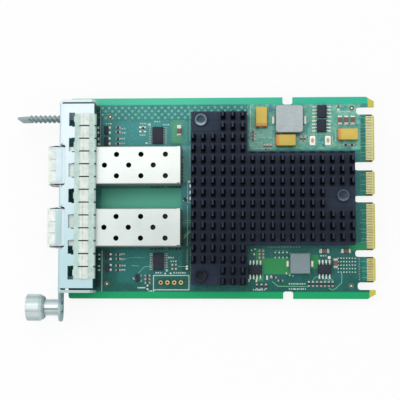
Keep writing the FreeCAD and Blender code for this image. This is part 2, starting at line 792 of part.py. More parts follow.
def chip_case(name, place, lengths):
    """Moulded case standing off the board, with its upper half drawn in."""
    half_x, half_y = size(lengths[0]) / 2, size(lengths[1]) / 2
    tall = size(lengths[2])
    mould = Part.makeLoft([
        Part.makePolygon([Vector(x * sx, y * sy, z) for sx, sy in corners])
        for x, y, z, corners in (
            (half_x - 0.1, half_y - 0.1, 0.12, CORNERS), (half_x, half_y, tall * 0.55, CORNERS),
            (half_x - 0.15, half_y - 0.15, tall, CORNERS))], True, True)
    mould.Placement = place
    return mould


CORNERS = [(-1, -1), (1, -1), (1, 1), (-1, 1), (-1, -1)]


def chip_leads(place, half_case, reach, tall, count, pitch, wide):
    """Leads on both sides of a case, each a strip that slopes down to its pad."""
    leads = []
    high = tall * 0.55
    for side in (-1, 1):
        profile = [(half_case, high), (reach, 0.15), (reach, 0.0), (half_case, high - 0.25)]
        for step in range(count):
            y = pitch * (step - (count - 1) / 2) - wide / 2
            lead = prism([(side * x, y, z) for x, z in profile], (0, wide, 0))
            lead.Placement = place.multiply(lead.Placement)
            leads.append(lead)
    return leads


def make_leaded(name, chips, lengths, reach, count, pitch, wide):
    cases = []
    leads = []
    for x, y, angle in chips:
        place = Placement(Vector(x, y, 0), Rotation(Vector(0, 0, 1), angle))
        cases.append(chip_case(name, place, lengths))
        leads += chip_leads(place, size(lengths[0]) / 2, reach, size(lengths[2]), count, pitch, wide)
    code_shape(name + "_chips", Part.makeCompound(cases))
    code_shape(name + "_leads", Part.makeCompound(leads))


# --- chip parts -------------------------------------------------------------------------------

# centre and whether the part lies along Y
LARGE_CAPACITORS = [(104.53, 29.1, True), (106.87, 29.1, True), (109.27, 29.1, True),
                    (102.5, -24.7, True), (98.4, -20.15, False), (106.4, -20.15, False),
                    (43.9, 25.2, True)]
SMALL_CAPACITORS = [(71.8, 24.74, False), (71.8, 23.38, False), (71.8, 21.96, False),
                    (76.1, 19.2, True), (77.3, 19.2, True), (78.5, 19.2, True),
                    (90.1, 22.0, True), (91.36, 22.0, True), (104.0, 34.4, False),
                    (74.9, -20.0, False), (74.9, -21.3, False), (74.9, -22.6, False),
                    (42.2, -25.3, False), (42.2, -26.8, False)]
RESISTORS = [(20.6, 26.8, False), (20.6, 25.1, False), (20.6, 22.4, False), (20.6, 20.6, False),
             (21.0, -21.45, False), (21.0, -23.0, False), (21.0, -25.6, False), (21.0, -27.3, False),
             (32.15, -29.35, False), (32.15, -30.7, False), (32.15, -32.05, False),
             (92.55, -32.4, True), (94.07, -32.4, True), (95.6, -32.4, True), (97.1, -32.4, True),
             (98.5, -32.4, True), (99.9, -32.4, True), (101.4, -32.4, True),
             (79.5, -30.0, False), (82.0, -31.2, False), (76.6, -33.4, True), (74.9, -33.4, True),
             (73.2, -33.4, True), (106.6, 19.7, False), (108.9, 19.7, False), (30.2, 26.4, True)]


def chip_box(part, kind, x_low, x_high, inset=0.0):
    """One box of a chip part, from x_low to x_high along its length."""
    x, y, along_y = part
    half, tall = size(kind + "_chip_wide") / 2 - inset, size(kind + "_chip_tall") - inset
    shape = Part.makeBox(x_high - x_low, 2 * half, tall, Vector(x_low, -half, 0))
    shape.Placement = Placement(Vector(x, y, 0), Rotation(Vector(0, 0, 1), 90 if along_y else 0))
    return shape


def make_chip_parts():
    half, end = size("large_chip_long") / 2, size("large_chip_end")
    cases = []
    ends = []
    for part in LARGE_CAPACITORS:
        cases.append(chip_box(part, "large", -half + end, half - end, 0.03))
        ends.append(chip_box(part, "large", -half, -half + end))
        ends.append(chip_box(part, "large", half - end, half))
    half = size("small_chip_long") / 2
    cases += [chip_box(part, "small", -half, half) for part in SMALL_CAPACITORS]
    code_shape("ceramic_capacitors", Part.makeCompound(cases))
    code_shape("ceramic_capacitor_ends", Part.makeCompound(ends))
    resistors = [chip_box(part, "small", -half, half) for part in RESISTORS]
    code_shape("resistors", Part.makeCompound(resistors))


LEDS = [(16.2, 25.75), (16.2, 21.5), (17.0, -21.6), (17.0, -26.3)]


def make_leds():
    bodies = []
    for x, y in LEDS:
        lengths = ("led_wide", "led_long", "led_tall")
        bodies.append(centred_block("led_%d" % len(bodies), (x, y, 0), lengths))
    gather("status_leds", bodies)


def make_transistor():
    x, y = 28.4, -30.3
    case = Part.makeBox(1.3, 2.9, 1.0, Vector(x - 0.65, y - 1.45, 0.1))
    legs = [Part.makeBox(0.7, 0.45, 0.25, Vector(x + 0.65, y + 0.7, 0)),
            Part.makeBox(0.7, 0.45, 0.25, Vector(x + 0.65, y - 1.15, 0)),
            Part.makeBox(0.7, 0.45, 0.25, Vector(x - 1.35, y - 0.22, 0))]
    code_shape("transistor", case.multiFuse(legs).removeSplitter())


# --- thumbscrew -------------------------------------------------------------------------------

HEAD_SIDES = 36
ROUND_SIDES = 24


def make_thumbscrew():
    axis = Vector(0, size("ear_middle"), size("ear_height"))
    head, front, cavity = size("head_radius"), size("head_front"), size("head_cavity")
    head_rear, knurl_rear, shank = size("head_rear"), size("head_knurl_rear"), size("shank_radius")
    head_floor = front + 0.8
    groove_front = -3.6
    groove_rear = groove_front + size("ring_thick")
    body = new_body("thumbscrew", axis)
    grip = sketch_on(body, "YZ_Plane", "head_grip", knurl_rear)
    draw_polygons(grip, [(0, 0)], head, HEAD_SIDES)
    grow(body, grip, "Pad", "grip_pad", knurl_rear - front - 0.4, reverse=True)
    nose = sketch_on(body, "YZ_Plane", "head_nose", front + 0.4)
    draw_polygons(nose, [(0, 0)], head, HEAD_SIDES)
    nose_pad = grow(body, nose, "Pad", "nose_pad", 0.4, reverse=True)
    nose_pad.TaperAngle = -50
    skirt = sketch_on(body, "YZ_Plane", "head_skirt", knurl_rear)
    draw_polygons(skirt, [(0, 0)], head, HEAD_SIDES)
    skirt_pad = grow(body, skirt, "Pad", "skirt_pad", head_rear - knurl_rear)
    skirt_pad.TaperAngle = -30
    hollow = sketch_on(body, "YZ_Plane", "head_hollow", head_rear)
    draw_polygons(hollow, [(0, 0)], cavity, ROUND_SIDES)
    grow(body, hollow, "Pocket", "head_hollow_cut", head_rear - head_floor)
    cross = sketch_on(body, "YZ_Plane", "driver_slot", front)
    draw_rectangle(cross, -2.4, -0.45, 2.4, 0.45)
    grow(body, cross, "Pocket", "driver_slot_cut", 0.5, reverse=True)
    stem = sketch_on(body, "YZ_Plane", "stem", head_floor - 0.1)
    draw_polygons(stem, [(0, 0)], shank, ROUND_SIDES)
    grow(body, stem, "Pad", "stem_pad", groove_front - head_floor + 0.1)
    groove = sketch_on(body, "YZ_Plane", "ring_groove", groove_front)
    draw_polygons(groove, [(0, 0)], 1.15)
    grow(body, groove, "Pad", "ring_groove_pad", "ring_thick")
    section = sketch_on(body, "XZ_Plane", "screw_end_section")
    draw_outline(section, [(groove_rear, 0, 0), (groove_rear, shank, 0), (0.9, shank, 0),
                           (0.9, 0, 0)])
    body.Tip = turn(body, section, "screw_end", "H_Axis")
    keep(body, "thumbscrew")

    sleeve = new_body("thumbscrew_ferrule", axis)
    outer = sketch_on(sleeve, "YZ_Plane", "ferrule_outline", -size("ferrule_long"))
    draw_polygons(outer, [(0, 0)], size("ferrule_radius"), ROUND_SIDES)
    draw_polygons(outer, [(0, 0)], 1.58, ROUND_SIDES)
    grow(sleeve, outer, "Pad", "ferrule_pad", "ferrule_long")
    mouth = sketch_on(sleeve, "YZ_Plane", "ferrule_mouth")
    draw_polygons(mouth, [(0, 0)], size("ear_hole"), ROUND_SIDES)
    grow(sleeve, mouth, "Pocket", "ferrule_mouth_cut", -groove_front)
    keep(sleeve, "thumbscrew_ferrule")

    ring = new_body("retaining_ring", axis)
    flat = sketch_on(ring, "YZ_Plane", "ring_outline", groove_front)
    draw_polygons(flat, [(0, 0)], size("ring_radius"), 16)
    draw_polygons(flat, [(0, 0)], 1.26, 16)
    grow(ring, flat, "Pad", "ring_pad", "ring_thick")
    gap = sketch_on(ring, "YZ_Plane", "ring_gap", groove_front)
    draw_rectangle(gap, -0.6, -3.0, 0.6, 0.0)
    grow(ring, gap, "Pocket", "ring_gap_cut", "ring_thick", reverse=True)
    keep(ring, "retaining_ring")


def make_spring():
    """Coil of square wire against the ferrule, as short as it is with the screw driven home."""
    wire, count, steps, radius = size("spring_wire"), 20, 8, 2.4
    rear = -size("ferrule_long") - wire
    front = -size("ferrule_long") - size("spring_home") + wire
    advance = (rear - front) / count
    rings = []
    for step in range(count + 1):
        angle = 2.0 * math.pi * step / steps
        x = front + advance * step
        ring = []
        for along, out in ((-wire, -wire), (wire, -wire), (wire, wire), (-wire, wire)):
            reach = radius + out
            ring.append(Vector(x + along, reach * math.cos(angle), reach * math.sin(angle)))
        rings.append(ring)
    outlines = [rings[0], rings[-1]]
    for ring, after in zip(rings, rings[1:]):
        for side in range(4):
            beside = (side + 1) % 4
            outlines.append([ring[side], ring[beside], after[beside]])
            outlines.append([ring[side], after[beside], after[side]])
    faces = [Part.Face(Part.makePolygon(outline + outline[:1])) for outline in outlines]
    coil = Part.makeSolid(Part.makeShell(faces))
    place = Placement(Vector(0, size("ear_middle"), size("ear_height")), Rotation())
    code_shape("thumbscrew_spring", coil, place)


# --- pull tab and film ------------------------------------------------------------------------

RIBS = 6
RIB_PITCH = 1.75


def make_pull_tab():
    long, low = size("tab_long"), size("tab_low")
    body = new_body("pull_tab", Vector(0, size("tab_middle"), 0))
    upper = [(0, 0.9, 0), (-0.9, 0.6, 0)]
    lower = [(-0.9, -0.6, 0), (0, -0.9, 0)]
    for rib in range(RIBS):
        peak = -2.2 - RIB_PITCH * rib
        upper += [(peak + 0.7, 0.25, 0), (peak, 0.85, 0), (peak - 0.25, 0.85, 0), (peak - 0.95, 0.25, 0)]
    for rib in reversed(range(RIBS)):
        peak = -2.2 - RIB_PITCH * rib
        lower_rib = [(peak - 0.95, -0.3, 0), (peak - 0.25, -0.85, 0), (peak, -0.85, 0), (peak + 0.7, -0.3, 0)]
        lower = lower[:-2] + lower_rib + lower[-2:]
    tip = [(-long + 4.0, 0.45, 0), (-long, 0.1, 0), (-long, -0.65, 0), (-long + 0.6, -0.8, 0),
           (-long + 4.0, -0.75, 0)]
    plan = sketch_on(body, "XY_Plane", "tab_plan", low)
    draw_outline(plan, upper + tip + lower)
    grow(body, plan, "Pad", "tab_pad", "tab_tall")
    barb = sketch_on(body, "XZ_Plane", "tab_barb", -0.7)
    draw_rectangle(barb, -0.5, 1.3, 2.0, 5.7)
    grow(body, barb, "Pad", "tab_barb_pad", 1.4)
    hook = sketch_on(body, "XY_Plane", "tab_hook", 1.6)
    draw_outline(hook, [(1.0, 0.6, 0), (2.0, 0.6, 0), (1.0, 1.3, 0)])
    draw_outline(hook, [(1.0, -0.6, 0), (2.0, -0.6, 0), (1.0, -1.3, 0)])
    grow(body, hook, "Pad", "tab_hook_pad", 3.8)
    keep(body, "pull_tab")


def make_film():
    """Formed tray glued under the board by its rim."""
    thick, low = size("film_thick"), size("film_low")
    underside = -size("board_thick")
    rim = Part.makeBox(97.0, 70.0, thick, Vector(10.5, -35.0, underside - thick))
    tray = Part.makeBox(93.0, 66.0, underside - low, Vector(12.5, -33.0, low))
    hollow = Part.makeBox(93.0 - 2 * thick, 66.0 - 2 * thick, underside - low - thick,
                          Vector(12.5 + thick, -33.0 + thick, low + thick))
    code_shape("insulator_film", rim.fuse(tray).cut(hollow).removeSplitter())


make_board()
make_contacts()
make_faceplate()
make_gaskets()
make_screws()
for port, cage in (("port_1", "cage_one"), ("port_2", "cage_two")):
    make_cage(port + "_cage", size(cage))
    make_collar(port + "_collar", size(cage))
    make_connector(port + "_connector", size(cage))
make_connector_contacts()
make_heatsink()
make_controller()
make_coils()
make_tantalums()
make_leaded("regulator", REGULATORS, ("regulator_wide", "regulator_long", "regulator_tall"),
            3.0, 4, 1.27, 0.42)
make_leaded("interface", [(x, y, turned) for x, y, turned in INTERFACES],
            ("interface_wide", "interface_long", "interface_tall"), 3.15, 10, 0.65, 0.25)
make_chip_parts()
make_leds()
make_transistor()
make_thumbscrew()
make_spring()
make_pull_tab()
make_film()

doc.recompute()
for item in doc.Objects:
    if "Invalid" in item.State or "Error" in item.State:
        raise RuntimeError("%s did not recompute" % item.Name)
os.makedirs("parts", exist_ok=True)
for node in nodes:
    if node.Shape.isNull() or not node.Shape.isValid():
        raise RuntimeError("%s has no valid shape" % node.Label)
    node.Shape.exportStep("parts/%s.step" % node.Label)
print("%d parts exported" % len(nodes))
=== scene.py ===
import bpy
import math
from mathutils import Matrix, Vector


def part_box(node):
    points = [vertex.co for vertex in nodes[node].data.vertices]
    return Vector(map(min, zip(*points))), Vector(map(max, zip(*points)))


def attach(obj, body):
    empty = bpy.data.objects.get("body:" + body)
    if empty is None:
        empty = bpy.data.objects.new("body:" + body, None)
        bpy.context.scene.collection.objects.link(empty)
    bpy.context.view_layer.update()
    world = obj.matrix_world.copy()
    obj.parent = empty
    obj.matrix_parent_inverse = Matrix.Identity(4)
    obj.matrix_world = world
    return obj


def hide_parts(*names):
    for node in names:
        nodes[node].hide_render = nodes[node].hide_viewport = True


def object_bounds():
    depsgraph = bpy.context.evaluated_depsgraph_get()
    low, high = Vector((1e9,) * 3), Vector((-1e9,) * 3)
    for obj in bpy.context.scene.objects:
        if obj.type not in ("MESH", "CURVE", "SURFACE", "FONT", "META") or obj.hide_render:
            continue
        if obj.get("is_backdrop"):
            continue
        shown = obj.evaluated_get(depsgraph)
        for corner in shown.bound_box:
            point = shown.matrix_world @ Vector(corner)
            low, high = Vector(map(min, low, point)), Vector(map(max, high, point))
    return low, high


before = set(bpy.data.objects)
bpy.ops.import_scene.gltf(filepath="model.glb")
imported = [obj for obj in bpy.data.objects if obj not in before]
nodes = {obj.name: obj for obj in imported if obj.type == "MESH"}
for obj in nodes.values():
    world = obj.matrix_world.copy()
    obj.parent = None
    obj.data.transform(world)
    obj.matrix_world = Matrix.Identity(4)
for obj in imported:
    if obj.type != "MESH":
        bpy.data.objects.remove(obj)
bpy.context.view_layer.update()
mm = 0.001
boardLow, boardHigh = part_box("circuit_board")
boardTop = boardHigh.z
boardHalf, plateHalf, cagesHalf = 34, 26, 12  # half widths that shades run across, in millimetres


def link(thing):
    bpy.context.scene.collection.objects.link(thing)
    return thing


# camera: a little below the card's middle and to its right, looking almost straight down
cameraSettings = {
    "lens": 106.5, "distance": 0.446, "aim": (-7.97 * mm, -0.9 * mm),
    "leanX": 3.10, "leanY": 4.78, "roll": -0.14}


def placeCamera(settings):
    target = (boardLow + boardHigh) / 2 + Vector((*settings["aim"], 0))
    target.z = boardTop
    back = Vector((math.tan(math.radians(settings["leanX"])), -math.tan(math.radians(settings["leanY"])), 1))
    back.normalize()
    level = (Vector((1, 0, 0)) - back * back.x).normalized()
    roll = math.radians(settings["roll"])
    right = (level * math.cos(roll) + back.cross(level) * math.sin(roll)).normalized()
    data = bpy.data.cameras.new("camera")
    data.lens = settings["lens"]
    data.sensor_width = 36
    data.clip_start = 0.01
    camera = link(bpy.data.objects.new("camera", data))
    turned = Matrix((right, back.cross(right), back)).transposed().to_4x4()
    camera.matrix_world = Matrix.Translation(target + back * settings["distance"]) @ turned
    bpy.context.scene.camera = camera


placeCamera(cameraSettings)
print("camera placed")


# shader sockets that can be added and multiplied like numbers
class Wire:
    def __init__(self, paint, socket):
        self.paint = paint
        self.socket = socket

    def __add__(self, other):
        return self.paint.maths("ADD", self, other)

    def __sub__(self, other):
        return self.paint.maths("SUBTRACT", self, other)

    def __rsub__(self, other):
        return self.paint.maths("SUBTRACT", other, self)

    def __mul__(self, other):
        return self.paint.maths("MULTIPLY", self, other)

    def __truediv__(self, other):
        return self.paint.maths("DIVIDE", self, other)

    def __abs__(self):
        return self.paint.maths("ABSOLUTE", self)

    __radd__ = __add__


class Paint:
    def __init__(self, name, **constants):
        self.material = bpy.data.materials.new(name)
        self.material.use_nodes = True
        self.tree = self.material.node_tree
        self.shader = self.tree.nodes["Principled BSDF"]
        for socket, value in constants.items():
            self.shader.inputs[socket.replace("_", " ")].default_value = value
        self.coords = self.node("ShaderNodeTexCoord", out="Object")
        split = self.node("ShaderNodeSeparateXYZ", sockets={0: self.coords}).socket.node.outputs
        self.x, self.y, self.z = (Wire(self, split[axis]) * 1000 for axis in range(3))  # millimetres

    def node(self, kind, settings=None, sockets=None, out=0):
        made = self.tree.nodes.new(kind)
        for key, value in (settings or {}).items():
            setattr(made, key, value)
        for key, value in (sockets or {}).items():
            if isinstance(value, Wire):
                self.tree.links.new(value.socket, made.inputs[key])
            else:
                made.inputs[key].default_value = value
        return Wire(self, made.outputs[out])

    def maths(self, operation, *values):
        return self.node("ShaderNodeMath", {"operation": operation}, dict(enumerate(values)))

    def mix(self, factor, first, second):
        first, second = (tint(*colour) if isinstance(colour, tuple) else colour for colour in (first, second))
        return self.node("ShaderNodeMix", {"data_type": "RGBA"}, {0: factor, 6: first, 7: second}, 2)

    def coat(self, factor, colour):
        self.base = self.mix(factor, self.base, colour)

    def noise(self, scale, detail=3, rough=0.6, stretch=(1, 1, 1), turn=(0, 0, 0)):
        placed = self.node("ShaderNodeMapping", None, {"Vector": self.coords, "Scale": stretch, "Rotation": turn})
        sockets = {"Vector": placed, "Scale": scale, "Detail": detail, "Roughness": rough}
        return self.node("ShaderNodeTexNoise", None, sockets)

    def clouds(self, scale, detail=3, rough=0.6, low=0.35, high=0.7, **shape):
        return self.fade(self.noise(scale, detail, rough, **shape), low, high)

    def fade(self, value, low, high):
        return self.node("ShaderNodeMapRange", None, {"Value": value, "From Min": low, "From Max": high})

    def across(self, half):
        return self.fade(self.y, -half, half)

    def within(self, value, low, high, soft=0.15):
        return self.fade(value, low - soft / 2, low + soft / 2) * self.fade(value, high + soft / 2, high - soft / 2)

    def patch(self, left, right, low, high, soft=0.15):
        return self.within(self.x, left, right, soft) * self.within(self.y, low, high, soft)

    def offset(self, value, first, pitch):
        # distance to the nearest line of a row, as a share of the pitch
        return self.maths("FRACT", (value - first) / pitch + 0.5) - 0.5

    def relief(self, height, deep, strength):
        return self.node("ShaderNodeBump", None, {"Height": height, "Distance": deep * mm, "Strength": strength})

    def feed(self, relief=None, **sockets):
        sockets["Base_Color"] = self.base
        if relief:
            sockets["Normal"] = self.relief(*relief)
        for name, value in sockets.items():
            self.tree.links.new(value.socket, self.shader.inputs[name.replace("_", " ")])
        return self.material


def tint(*shades):
    parts = [value / 255 for value in shades]
    return (*[part / 12.92 if part <= 0.04045 else ((part + 0.055) / 1.055) ** 2.4 for part in parts], 1.0)


def metal(name, colour, roughness, stain):
    paint = Paint(name, Metallic=0.6)
    clouds = paint.clouds(90, 4)
    brushed = paint.clouds(1800, 2, 0.5, low=0.3)
    paint.base = paint.mix(clouds * 0.6 + brushed * 0.2, colour, stain)
    return paint.feed(Roughness=brushed * 0.1 + clouds * 0.06 + (roughness - 0.05), relief=(brushed, 0.01, 0.4))


def moulded(name, colour, roughness, stain):
    paint = Paint(name, Specular_IOR_Level=0.25)
    pits = paint.clouds(2600, 2, low=0.3)
    paint.base = paint.mix(paint.clouds(160) * 0.5 + pits * 0.3, colour, stain)
    return paint.feed(Roughness=pits * 0.14 + (roughness - 0.07), relief=(pits, 0.02, 0.6))


def cover(piece, paint):
    piece.data.materials.clear()
    piece.data.materials.append(paint)


# modelling helpers
def alone(piece):
    bpy.ops.object.select_all(action="DESELECT")
    piece.select_set(True)
    bpy.context.view_layer.objects.active = piece


def edit(piece, chosen="DESELECT"):
    alone(piece)
    bpy.ops.object.mode_set(mode="EDIT")
    bpy.ops.mesh.select_mode(type="FACE")
    bpy.ops.mesh.select_all(action=chosen)


def pickFaces(piece, test):
    bpy.ops.mesh.select_all(action="DESELECT")
    bpy.ops.object.mode_set(mode="OBJECT")
    for face in piece.data.polygons:
        face.select = test(face.center, face.normal)
    bpy.ops.object.mode_set(mode="EDIT")


def pickEdges(piece, test):
    bpy.ops.mesh.select_all(action="DESELECT")
    bpy.ops.object.mode_set(mode="OBJECT")
    for edge in piece.data.edges:
        first, second = (piece.data.vertices[index].co for index in edge.vertices)
        edge.select = test((first + second) / 2, (second - first).normalized())
    bpy.ops.object.mode_set(mode="EDIT")


def facing(side):
    return lambda centre, normal: normal.z * side > 0.9


def upright(middle, line):
    return abs(line.z) > 0.9


def inset(width):
    bpy.ops.mesh.inset(thickness=width, depth=0)


def lift(height):
    bpy.ops.transform.translate(value=(0, 0, height))


def pull(x, y, z):
    bpy.ops.mesh.extrude_region_move(TRANSFORM_OT_translate={"value": (x, y, z)})


def roundEdges(width, segments=2):
    bpy.ops.mesh.bevel(offset=width, segments=segments, affect="EDGES")


def done():
    bpy.ops.mesh.select_all(action="SELECT")
    bpy.ops.mesh.normals_make_consistent(inside=False)
    bpy.ops.object.mode_set(mode="OBJECT")


def settled(name):
    piece = bpy.context.object
    piece.name = name
    bpy.ops.object.transform_apply(location=True, rotation=False, scale=True)
    return piece


def crown(piece, width, height):
    edit(piece)
    pickFaces(piece, facing(1))
    inset(width)
    lift(height)


def startBlock(name, long, wide, tall, base=0.0):
    bpy.ops.mesh.primitive_cube_add(size=1, location=(0, 0, base + tall / 2))
    bpy.context.object.scale = (long, wide, tall)
    return settled(name)


def startRound(name, radius, tall, sides=32, base=0.0):
    middle = (0, 0, base + tall / 2)
    bpy.ops.mesh.primitive_cylinder_add(vertices=sides, radius=radius, depth=tall, location=middle)
    return settled(name)


def soften(piece, width, segments=2, angle=30):
    alone(piece)
    bevel = piece.modifiers.new("softEdges", "BEVEL")
    bevel.width = width
    bevel.segments = segments
    bevel.limit_method = "ANGLE"
    bevel.angle_limit = math.radians(angle)
    bpy.ops.object.modifier_apply(modifier=bevel.name)


def smooth(piece, angle=35):
    alone(piece)
    bpy.ops.object.shade_smooth_by_angle(angle=math.radians(angle))
    return piece


def at(x, y, z=boardTop / mm, angle=0, stretch=(1, 1)):
    place = Matrix.Translation((x * mm, y * mm, z * mm)) @ Matrix.Rotation(math.radians(angle), 4, "Z")
    return place @ Matrix.Diagonal((*stretch, 1, 1))


def standAt(piece, low, high):
    piece.data.transform(Matrix.Translation(((low.x + high.x) / 2, (low.y + high.y) / 2, low.z)))
    return piece


def join(name, pieces):
    bpy.ops.object.select_all(action="DESELECT")
    for piece in pieces:
        piece.select_set(True)
    bpy.context.view_layer.objects.active = pieces[0]
    if len(pieces) > 1:
        bpy.ops.object.join()
    pieces[0].name = name
    return pieces[0]


def spread(name, model, places, *replaced, **look):
    copies = []
    for place in places:
        place = place if isinstance(place, Matrix) else at(*place)
        copy = link(model.copy())
        copy.data = model.data.copy()
        copy.data.transform(place)
        copies.append(copy)
    bpy.data.objects.remove(model)
    return ready(join(name, copies), *replaced, **look)


def ready(piece, *replaced, body="card", paint=None, slot=None):
    if paint:
        cover(piece, paint)
    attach(piece, body)
    if replaced:
        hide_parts(*replaced)
    return piece


def dress(paint, *names):
    for name in names:
        cover(nodes[name], paint)


def copyOf(source, name):
    copy = link(nodes[source].copy())
    copy.data = nodes[source].data.copy()
    copy.name = name
    copy.parent = None
    edit(copy, "SELECT")
    bpy.ops.mesh.remove_doubles(threshold=0.002 * mm)
    return copy


def workedCopy(source, name, width, paint, slot, segments=1):
    copy = copyOf(source, name)
    bpy.ops.mesh.dissolve_limited(angle_limit=math.radians(1))
    done()
    soften(copy, width * mm, segments)
    smooth(copy)
    even = copy.modifiers.new("evenNormals", "WEIGHTED_NORMAL")
    even.keep_sharp = True
    bpy.ops.object.modifier_apply(modifier=even.name)
    return ready(copy, source, paint=paint, slot=slot)


def solidBoxes(name):
    # low and high corner of each loose solid of a CAD node
    boxes = []
    copyOf(name, name + "Parts")
    bpy.ops.mesh.separate(type="LOOSE")
    bpy.ops.object.mode_set(mode="OBJECT")
    for part in bpy.context.selected_objects:
        points = [vertex.co for vertex in part.data.vertices]
        boxes.append([Vector([round(pick(point[axis] for point in points), 6) for axis in range(3)])
                      for pick in (min, max)])
        bpy.data.objects.remove(part)
    return sorted(boxes, key=lambda box: tuple(box[0]))


# circuit board: shades of lacquer, with painted shadow around tall parts and beside the gasket and painted light and
# shade beside the cages, each row left, right, low, high and softness in millimetres, then the colour
boardAreas = [
    (14.5, 44.7, -4.3, 3.5, 0.3, 74, 162, 138), (14.5, 44.7, -4.6, 0.4, 4, 92, 187, 160),
    # the first row on the next line is painted light on the strip between the cages and the heatsink
    (45, 48.6, -4.4, 6.4, 1.2, 62, 132, 142), (70.4, 112, 18.2, 35.3, 0.5, 92, 168, 148),
    (70.6, 79.2, 18, 27, 0.8, 120, 176, 160), (41.2, 46.2, 21.2, 29, 0.9, 84, 164, 122),
    # the second row on the next line, both rows on the line after and the first row on the third are painted shadow
    # around the coil and the three tantalum cases
    (77.7, 79.4, 31.4, 35.2, 0.5, 34, 112, 152), (79.9, 91, 23.3, 34.6, 0.7, 24, 62, 62),
    (72.8, 77.3, 26, 34.3, 0.6, 40, 90, 84), (80.2, 88.1, 18.9, 23.8, 0.6, 40, 90, 84),
    (103.2, 111.2, 20.9, 25.8, 0.6, 30, 84, 78), (96.1, 98.8, 19, 23.7, 0.2, 28, 128, 142),
    (112.4, 114.3, -31, 32, 0.3, 24, 118, 108), (114.1, 116.5, -31.8, 31.2, 0.2, 74, 72, 36),
    # the two rows on the next line are painted shadow on the board beside the faceplate's gasket
    (12, 14.2, 9, 35, 1.4, 10, 52, 52), (12, 14.2, -34, -19, 1.4, 8, 44, 46),
    (75.6, 85.5, -28.8, -22.8, 0.4, 44, 146, 82), (93, 96.2, -26.7, -21.5, 0.3, 44, 146, 82),
    (72.8, 75.8, -31.5, -19.2, 0.3, 48, 138, 92), (107.5, 113.8, -20, -17, 0.6, 30, 140, 90),
    # the three rows on the next line and the first on the line after are painted light and shade on the strip between
    # the cages and the heatsink: lighter where the cages throw their shadow, darkest at the lower end
    (45, 48.7, 6, 20, 1, 104, 172, 172), (45, 48.7, 20, 29, 1, 70, 150, 146), (45, 48.7, -11, -4.8, 1, 62, 128, 130),
    (45, 48.7, -28, -11.2, 1, 4, 74, 70), (20, 40, 19.5, 29, 2, 62, 150, 150),
    (20.5, 33, -32, -19.5, 2, 26, 112, 110), (45.5, 47, -1.4, 0.1, 0.4, 18, 44, 54),
    (35.9, 46.2, -33.2, -30.7, 0.6, 8, 78, 54)]


# bare stretches and the four offset rows of stitching vias inside the upper edge
lacquerSettings = {
    "between": (14.5, 44.7, -4.3, 3.5), "worn": (70, 112.2, 18, 35.4, 0.6),
    "drift": (69, 112.2, 18, 35.4, 0.6), "stitched": (14.2, 70, 29.9, 35.1, 0.1),
    "rows": (29.85, 34.95), "first": 20.9, "pitch": 2.52,
    "strip": (35.2, 35.6), "tongues": (116.3, 116.5), "corners": (114.9, 115.1)}


def lacquer(areas, settings):
    paint = Paint("solderLacquer", Roughness=0.38, Specular_IOR_Level=0.2)
    across = paint.across(boardHalf)
    # base colour darker towards the bottom and lighter towards the top: partly the lacquer's own tone, partly painted
    # light from above
    paint.base = paint.mix(across, (8, 86, 78), (56, 140, 136))
    patches = paint.clouds(150, 4, low=0.45, high=0.65)
    paint.coat(patches * 0.45, (38, 112, 122))
    for *area, red, green, blue in areas:
        paint.coat(paint.patch(*area), (red, green, blue))
    weave = paint.noise(900, 3, 0.6, (1, 4, 1), (0, 0, 0.78))
    veins = paint.fade(weave, 0.52, 0.66) * (1 - paint.patch(*settings["between"]))
    paint.coat(veins * 0.4, paint.mix(across, (60, 140, 110), (140, 196, 178)))
    row = paint.fade(paint.y, *settings["rows"]) * 4
    step = paint.maths("FLOOR", row)
    lane = paint.maths("FRACT", row) - 0.5
    along = paint.maths("FRACT", (paint.x - settings["first"]) / settings["pitch"] + step * 0.5 + 0.5) - 0.5
    reach = paint.maths("SQRT", along * along * 6.35 + lane * lane * 1.7)
    worn = paint.clouds(520, 4, 0.7, low=0.38, high=0.66) * paint.patch(*settings["worn"])
    paint.coat(worn * 0.75, (146, 212, 186))
    drift = paint.clouds(310, low=0.5, high=0.68) * paint.patch(*settings["drift"])
    paint.coat(drift * 0.7, (44, 128, 142))
    stitches = paint.fade(reach, 0.62, 0.38) * paint.patch(*settings["stitched"])
    paint.coat(stitches * 0.7, (132, 206, 184))
    edge = abs(paint.y)
    upper = paint.mix(paint.fade(paint.x, 50, 105), (78, 202, 166), (46, 186, 154))
    strip = paint.mix(across, (0, 164, 104), upper)
    paint.coat(paint.fade(edge, *settings["strip"]), strip)
    golden = paint.fade(paint.x, *settings["tongues"])
    corner = paint.fade(paint.x, *settings["corners"]) * paint.fade(edge, 34, 34.2)
    paint.coat(paint.maths("MAXIMUM", golden, corner), (202, 194, 84))
    return paint.feed(relief=(veins, 0.02, 0.5))


dress(lacquer(boardAreas, lacquerSettings), "circuit_board")
print("board lacquered")


